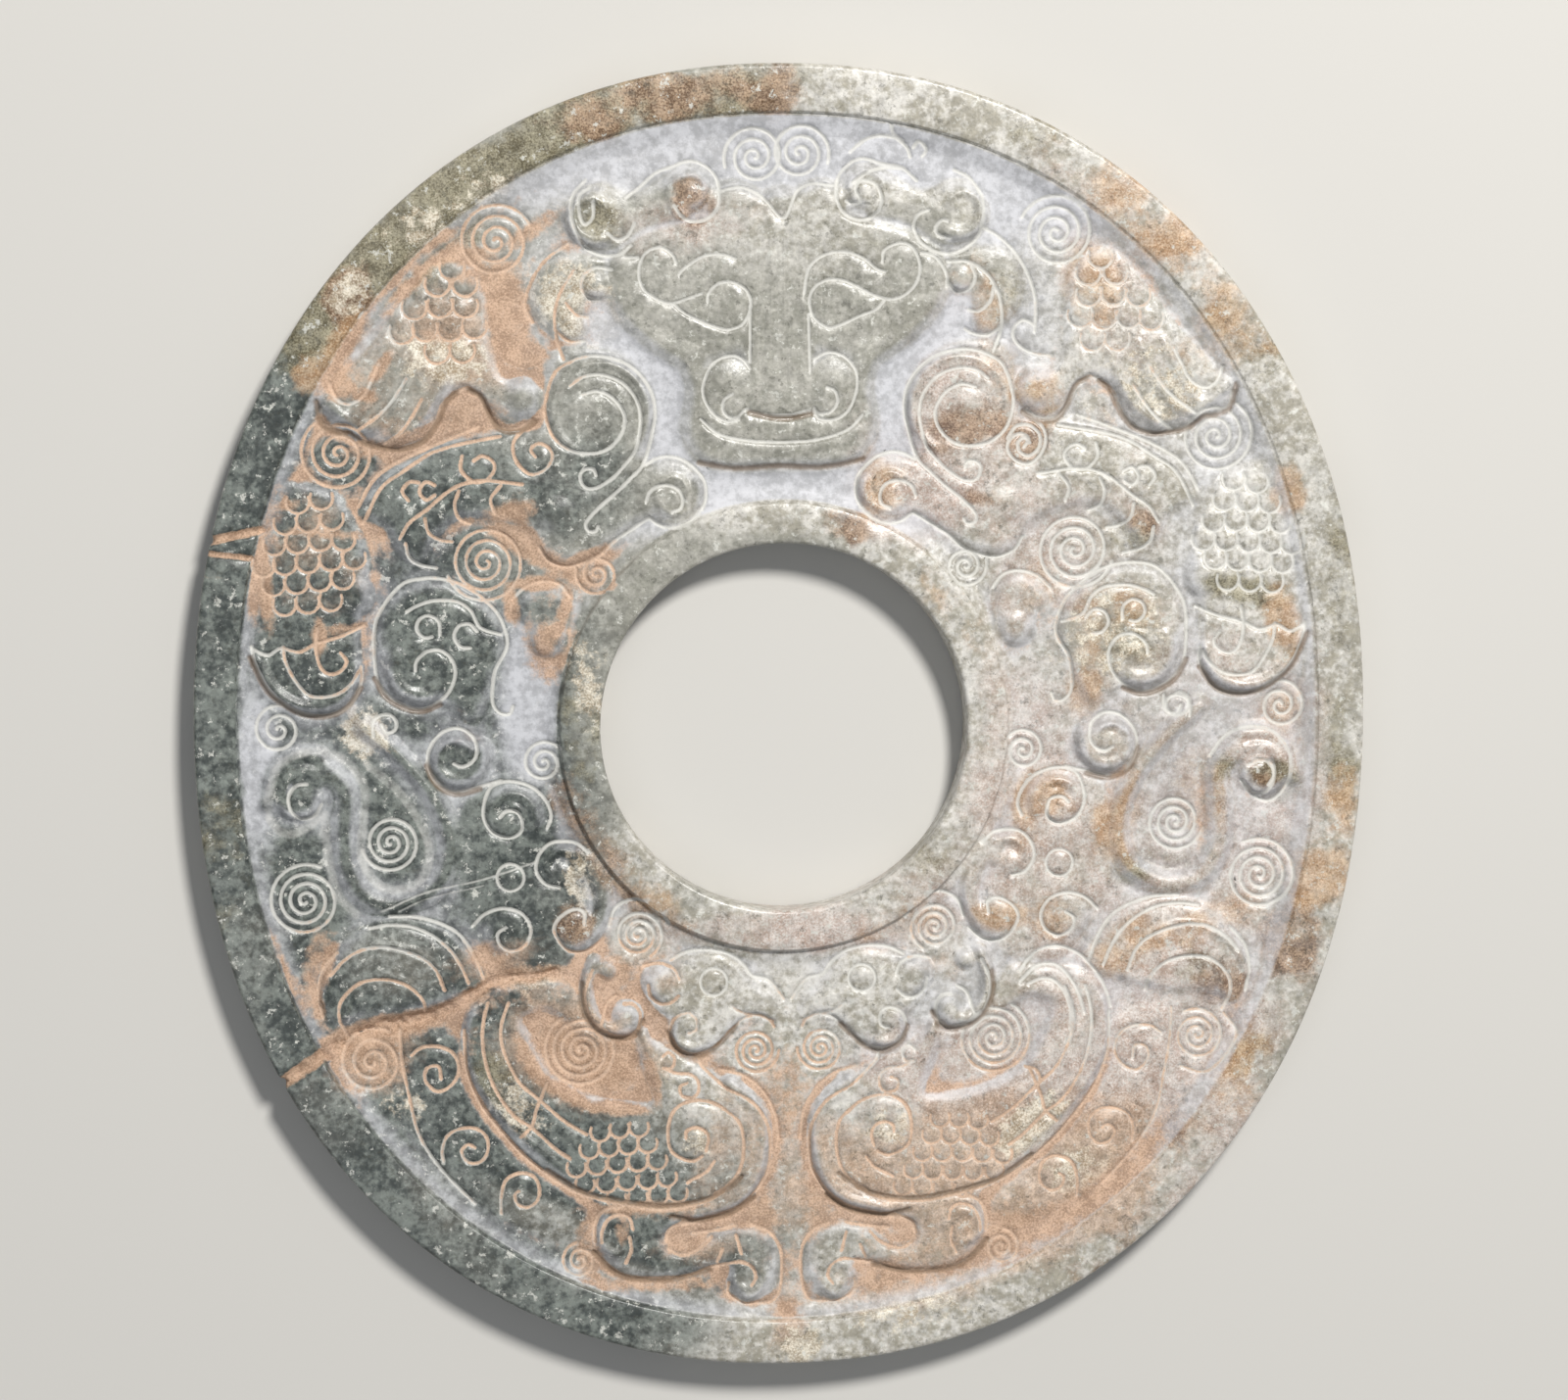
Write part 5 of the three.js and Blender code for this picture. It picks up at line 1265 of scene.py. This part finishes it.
def math_node(tree, place, operation, first, second=0.0, third=0.5, clamp=False):
    """One sum; the third value is used by MULTIPLY_ADD alone."""
    return put(tree, "ShaderNodeMath", place, {0: first, 1: second, 2: third},
               operation=operation, use_clamp=clamp).outputs[0]


def smooth_step(tree, place, value, low, high):
    """From 0 at low to 1 at high."""
    return put(tree, "ShaderNodeMapRange", place, {"Value": value, "From Min": low,
               "From Max": high}, interpolation_type="SMOOTHSTEP").outputs["Result"]


def layer_over(tree, place, mask, under, over):
    """One colour laid over another where the mask is."""
    return put(tree, "ShaderNodeMix", place, {0: mask, 6: under, 7: over},
               data_type="RGBA").outputs[2]


def noise(tree, place, vector, scale, detail, roughness):
    """Soft random values from 0 to 1."""
    return put(tree, "ShaderNodeTexNoise", place, {"Vector": vector, "Scale": scale,
               "Detail": detail, "Roughness": roughness}).outputs["Fac"]


def new_group(name, takes, gives):
    """A node group with named sockets, and its inner input and output nodes."""
    tree = bpy.data.node_groups.new(name, "ShaderNodeTree")
    for socket_name, kind, value in takes:
        socket = tree.interface.new_socket(socket_name, in_out="INPUT", socket_type=kind)
        if value is not None:
            socket.default_value = value
    for socket_name, kind in gives:
        tree.interface.new_socket(socket_name, in_out="OUTPUT", socket_type=kind)
    inside = tree.nodes.new("NodeGroupInput")
    inside.location = (-800, 0)
    result = tree.nodes.new("NodeGroupOutput")
    result.location = (900, 0)
    return tree, inside.outputs, result.inputs


FLOAT, VECTOR = "NodeSocketFloat", "NodeSocketVector"

# %% Groups: clouds, ragged masks and grains
clouds, given, out = new_group("Stone clouds", [
    ("Vector", VECTOR, None), ("Scale", FLOAT, 60.0), ("Grain", FLOAT, 0.6)], [("Mask", FLOAT)])
finer = math_node(clouds, (-600, -300), "MULTIPLY", given["Scale"], 8.0)
broad = noise(clouds, (-400, 200), given["Vector"], given["Scale"], 4, 0.6)
fine = noise(clouds, (-400, -200), given["Vector"], finer, 3, 0.7)
fine_part = math_node(clouds, (-200, -200), "SUBTRACT", fine, 0.5)
fine_share = math_node(clouds, (0, -200), "MULTIPLY", fine_part, given["Grain"])
total = math_node(clouds, (200, 100), "ADD", broad, fine_share)
clouds.links.new(smooth_step(clouds, (500, 100), total, 0.25, 0.75), out["Mask"])

ragged, given, out = new_group("Ragged mask", [
    ("Mask", FLOAT, 0.5), ("Grain", FLOAT, 0.5), ("Break", FLOAT, 0.8),
    ("Edge", FLOAT, 0.25)], [("Mask", FLOAT)])
centred = math_node(ragged, (-500, -100), "SUBTRACT", given["Grain"], 0.5)
pushed_by = math_node(ragged, (-300, -100), "MULTIPLY", centred, given["Break"])
doubled = math_node(ragged, (-100, -200), "MULTIPLY", pushed_by, 2.0)
moved = math_node(ragged, (100, 0), "ADD", given["Mask"], doubled)
low_edge = math_node(ragged, (100, -200), "SUBTRACT", 0.5, given["Edge"])
high_edge = math_node(ragged, (100, -400), "ADD", 0.5, given["Edge"])
masked = smooth_step(ragged, (350, 0), moved, low_edge, high_edge)
any_mask = smooth_step(ragged, (350, -250), given["Mask"], 0.0, 0.12)
ragged.links.new(math_node(ragged, (600, 0), "MULTIPLY", masked, any_mask), out["Mask"])

grains, given, out = new_group("Pale and dark grains", [
    ("Vector", VECTOR, None), ("Scale", FLOAT, 520.0), ("Rarity", FLOAT, 0.12)],
    [("Pale", FLOAT), ("Dark", FLOAT)])
grain = noise(grains, (-500, 100), given["Vector"], given["Scale"], 4, 0.75)
pale_from = math_node(grains, (-300, -50), "ADD", given["Rarity"], 0.5)
pale_full = math_node(grains, (-100, -50), "ADD", pale_from, 0.07)
dark_from = math_node(grains, (-300, -250), "SUBTRACT", 0.5, given["Rarity"])
dark_full = math_node(grains, (-100, -250), "SUBTRACT", dark_from, 0.07)
grains.links.new(smooth_step(grains, (300, 100), grain, pale_from, pale_full), out["Pale"])
grains.links.new(smooth_step(grains, (300, -150), grain, dark_from, dark_full), out["Dark"])
print("groups", [g.name for g in bpy.data.node_groups])

# %% The jade material
jade = bpy.data.materials.new("nephrite")
jade.use_nodes = True
tree = jade.node_tree
tree.nodes.clear()
coords = put(tree, "ShaderNodeTexCoord", (-2600, 0)).outputs["Object"]


def attribute(name, place):
    return put(tree, "ShaderNodeAttribute", place, attribute_name=name).outputs["Fac"]


def put_group(group, place, **inputs):
    node = tree.nodes.new("ShaderNodeGroup")
    node.node_tree = group
    node.location = place
    for key, value in inputs.items():
        if isinstance(value, bpy.types.NodeSocket):
            tree.links.new(value, node.inputs[key])
        else:
            node.inputs[key].default_value = value
    return node.outputs[0]


def ragged_mask(place, mask, grain, break_up, edge, full=1.0):
    mask = put_group(ragged, place, Mask=mask, Grain=grain, Break=break_up, Edge=edge)
    return math_node(tree, (place[0] + 180, place[1]), "MULTIPLY", mask, full)


broad_cloud = put_group(clouds, (-2300, 600), Vector=coords, Scale=75.0, Grain=1.3)
tight_cloud = put_group(clouds, (-2300, 400), Vector=coords, Scale=320.0, Grain=1.2)
coarse_grain = noise(tree, (-2300, 200), coords, 90, 5, 0.7)
fine_grain = noise(tree, (-2300, 0), coords, 420, 4, 0.7)
pitting = noise(tree, (-2300, -200), coords, 1300, 3, 0.6)
ground, line = attribute("ground", (-2600, -200)), attribute("line", (-2600, -400))
corner_fac = attribute("corner", (-2600, -600))
crown_fac = attribute("crown", (-2600, -800))

colour = layer_over(tree, (-2000, 800), broad_cloud, srgb(142, 141, 131), srgb(172, 170, 161))
ZONES = [
    # name, darker and lighter colour, cloud, break-up, edge and full strength
    ("dark", srgb(56, 62, 60), srgb(120, 126, 120), broad_cloud, 0.5, 0.45, 1.0),
    ("pale", srgb(160, 155, 141), srgb(212, 209, 202), broad_cloud, 0.5, 0.5, 0.95),
    ("pink", srgb(172, 146, 132), srgb(214, 205, 198), tight_cloud, 0.9, 0.4, 0.8),
    ("tan", srgb(158, 131, 108), srgb(208, 180, 156), tight_cloud, 0.9, 0.35, 0.75),
    ("olive", srgb(84, 75, 46), srgb(160, 153, 127), tight_cloud, 1.1, 0.3, 0.85),
    ("rust", srgb(100, 72, 50), srgb(180, 150, 122), tight_cloud, 1.3, 0.3, 0.8),
    ("ochre", srgb(162, 124, 86), srgb(208, 180, 148), tight_cloud, 1.3, 0.35, 0.75),
    ("crust", srgb(158, 142, 118), srgb(228, 221, 204), tight_cloud, 1.4, 0.25, 0.85),
]
for i, (name, dark, light, cloud, break_up, edge, full) in enumerate(ZONES):
    x = -2000 + 220 * i
    grain = fine_grain if name == "crust" else coarse_grain
    mask = ragged_mask((x, 300), attribute(name, (x - 150, 100)), grain, break_up, edge, full)
    own = layer_over(tree, (x, 600), cloud, dark, light)
    colour = layer_over(tree, (x + 200, 800), mask, colour, own)
pale_grains = put_group(grains, (-400, 300), Vector=coords, Scale=520.0, Rarity=0.085)
dark_grains = pale_grains.node.outputs["Dark"]
pale_share = math_node(tree, (-200, 300), "MULTIPLY", pale_grains, 0.8)
colour = layer_over(tree, (-50, 800), pale_share, colour, srgb(204, 204, 196))
dark_share = math_node(tree, (-200, 100), "MULTIPLY", dark_grains, 0.45)
colour = layer_over(tree, (100, 800), dark_share, colour, srgb(62, 62, 52))
worn_dark = math_node(tree, (0, 300), "MULTIPLY", crown_fac, 0.08)
colour = layer_over(tree, (250, 800), worn_dark, colour, srgb(70, 72, 62))

mottle = put(tree, "ShaderNodeMapRange", (200, 500), {"Value": fine_grain, "From Min": 0.3,
             "From Max": 0.7, "To Min": 0.78, "To Max": 1.22}).outputs["Result"]
speckle = put(tree, "ShaderNodeMapRange", (200, 300), {"Value": pitting, "From Min": 0.3,
              "From Max": 0.7, "To Min": 0.86, "To Max": 1.14}).outputs["Result"]
uneven = math_node(tree, (300, 400), "MULTIPLY", mottle, speckle)
colour = put(tree, "ShaderNodeVectorMath", (350, 800), {0: colour, "Scale": uneven},
             operation="SCALE").outputs[0]

bloom_low = math_node(tree, (-300, -100), "MULTIPLY", attribute("bloom", (-500, -100)), ground)
on_slope = math_node(tree, (-300, -300), "MULTIPLY", attribute("slope", (-500, -300)), 0.58)
on_edge = math_node(tree, (-300, -500), "MULTIPLY", attribute("field edge", (-500, -500)), 0.6)
in_corners = math_node(tree, (-300, -700), "MULTIPLY", corner_fac, 0.55)
bloom_most = math_node(tree, (-100, -100), "MAXIMUM", bloom_low, on_slope)
bloom_more = math_node(tree, (0, -200), "MAXIMUM", on_edge, in_corners)
bloom_sum = math_node(tree, (100, -200), "MAXIMUM", bloom_most, bloom_more)
bloom = ragged_mask((200, -100), bloom_sum, fine_grain, 0.35, 0.5, 0.9)
bloom_colour = layer_over(tree, (300, 500), broad_cloud, srgb(172, 173, 177), srgb(204, 205, 210))
colour = layer_over(tree, (500, 800), bloom, colour, bloom_colour)
dust = ragged_mask((500, -500), line, fine_grain, 0.35, 0.35, 0.76)
colour = layer_over(tree, (750, 800), dust, colour, srgb(206, 205, 199))

held = math_node(tree, (500, -700), "MAXIMUM", ground, corner_fac)
held_part = math_node(tree, (600, -800), "MULTIPLY_ADD", held, 0.5, 0.4)
soil_ground = math_node(tree, (700, -700), "MULTIPLY", held_part,
                        attribute("soil", (500, -1000)))
deep = math_node(tree, (500, -1200), "MAXIMUM", line, corner_fac)
soil_lines = math_node(tree, (700, -1200), "MULTIPLY", deep,
                       attribute("soil in lines", (500, -1400)))
soil_both = math_node(tree, (900, -900), "MAXIMUM", soil_ground, soil_lines)
soil_full = math_node(tree, (900, -1100), "MAXIMUM", attribute("packed soil", (700, -1400)),
                      attribute("broken", (700, -1600)))
soil_any = math_node(tree, (1000, -800), "MAXIMUM", soil_both, soil_full)
soil = ragged_mask((1100, -700), soil_any, fine_grain, 0.6, 0.26, 0.86)
soil_colour = layer_over(tree, (1000, 500), tight_cloud, srgb(156, 124, 98), srgb(210, 176, 148))
line_share = math_node(tree, (1000, 300), "MULTIPLY", line, 0.35)
lit_soil = layer_over(tree, (1150, 500), line_share, soil_colour, srgb(222, 192, 166))
colour = layer_over(tree, (1300, 800), soil, colour, lit_soil)
# painted shade along the undercut edges, mixed with the darker soil that sits in them
in_shade = math_node(tree, (1300, 600), "MULTIPLY", attribute("shaded", (1100, 600)), 0.7)
colour = layer_over(tree, (1500, 800), in_shade, colour, srgb(112, 91, 70))

polish = put(tree, "ShaderNodeMapRange", (1100, 200),
             {"Value": tight_cloud, "To Min": 0.3, "To Max": 0.46}).outputs["Result"]
matt = math_node(tree, (1100, 0), "MAXIMUM", bloom, dust)
rough_bloom = math_node(tree, (1300, 100), "MULTIPLY_ADD", matt, 0.3, polish)
rough_soil = math_node(tree, (1500, 100), "MULTIPLY_ADD", soil, 0.45, rough_bloom, clamp=True)
bump_strength = math_node(tree, (1500, -400), "MULTIPLY_ADD", soil, 0.6, 0.3)
bump = put(tree, "ShaderNodeBump", (1700, -300), {"Height": pitting,
           "Strength": bump_strength, "Distance": 0.0002})
surface = put(tree, "ShaderNodeBsdfPrincipled", (1900, 400), {
    "Base Color": colour, "Roughness": rough_soil, "IOR": 1.61,
    "Normal": bump.outputs["Normal"]})
finish = put(tree, "ShaderNodeOutputMaterial", (2200, 400))
tree.links.new(surface.outputs["BSDF"], finish.inputs["Surface"])
shape.materials.clear()
shape.materials.append(jade)
print("material", jade.name, len(tree.nodes), "nodes")

# %% [markdown]
# ## On a pale table
# The disc lies on a plain pale floor. A soft lamp beyond the mask, a little to the right, rakes
# across the relief, and a wide weak one opens the shadows. The camera looks almost straight
# down, a little from the left and from the mask's side.

# %% Floor, lamps and camera
pale = bpy.data.materials.new("floor")
pale.use_nodes = True
floor_shader = pale.node_tree.nodes["Principled BSDF"]
floor_shader.inputs["Base Color"].default_value = srgb(205, 203, 198)
floor_shader.inputs["Roughness"].default_value = 0.9
bm = bmesh.new()
bmesh.ops.create_grid(bm, x_segments=1, y_segments=1, size=3.0)
floor_mesh = bpy.data.meshes.new("floor")
bm.to_mesh(floor_mesh)
bm.free()
floor_mesh.materials.append(pale)
floor = bpy.data.objects.new("floor", floor_mesh)
# a hair below the disc, so that its back and the floor never coincide
floor.location = (0, 0, -0.0002)
bpy.context.scene.collection.objects.link(floor)


def look(eye, target, up=(0, 1, 0)):
    """A place and turn that looks from the eye to the target, with up kept upright."""
    back = (Vector(eye) - Vector(target)).normalized()
    side = Vector(up).cross(back).normalized()
    turn = Matrix((side, back.cross(side), back)).transposed()
    return Matrix.Translation(eye) @ turn.to_4x4()


def lamp(name, eye, size, power, tint):
    """A round soft lamp turned to the disc."""
    light = bpy.data.lights.new(name, "AREA")
    light.shape = "DISK"
    light.size = size
    light.energy = power
    light.color = tint
    lamp_object = bpy.data.objects.new(name, light)
    lamp_object.matrix_world = look(eye, (0, 0, 0))
    bpy.context.scene.collection.objects.link(lamp_object)


lamp("key", (0.42, 0.86, 1.2), 0.3, 27, (1.0, 0.98, 0.95))
lamp("fill", (-0.6, -0.5, 1.3), 1.1, 3, (0.94, 0.97, 1.0))
world = bpy.data.worlds.new("soft light")
world.use_nodes = True
surroundings = world.node_tree.nodes["Background"]
surroundings.inputs["Color"].default_value = (0.8, 0.83, 0.88, 1)
surroundings.inputs["Strength"].default_value = 0.23
bpy.context.scene.world = world
bpy.context.scene.view_settings.view_transform = "Standard"

camera_data = bpy.data.cameras.new("camera")
camera_data.sensor_width = 36
camera_data.lens = 100.4
camera = bpy.data.objects.new("camera", camera_data)
face_top = THICKNESS * MM
camera.matrix_world = look((-0.06315, 0.0636, 0.8 + face_top), (-0.00015, 0.0038, face_top))
bpy.context.scene.collection.objects.link(camera)
bpy.context.scene.camera = camera
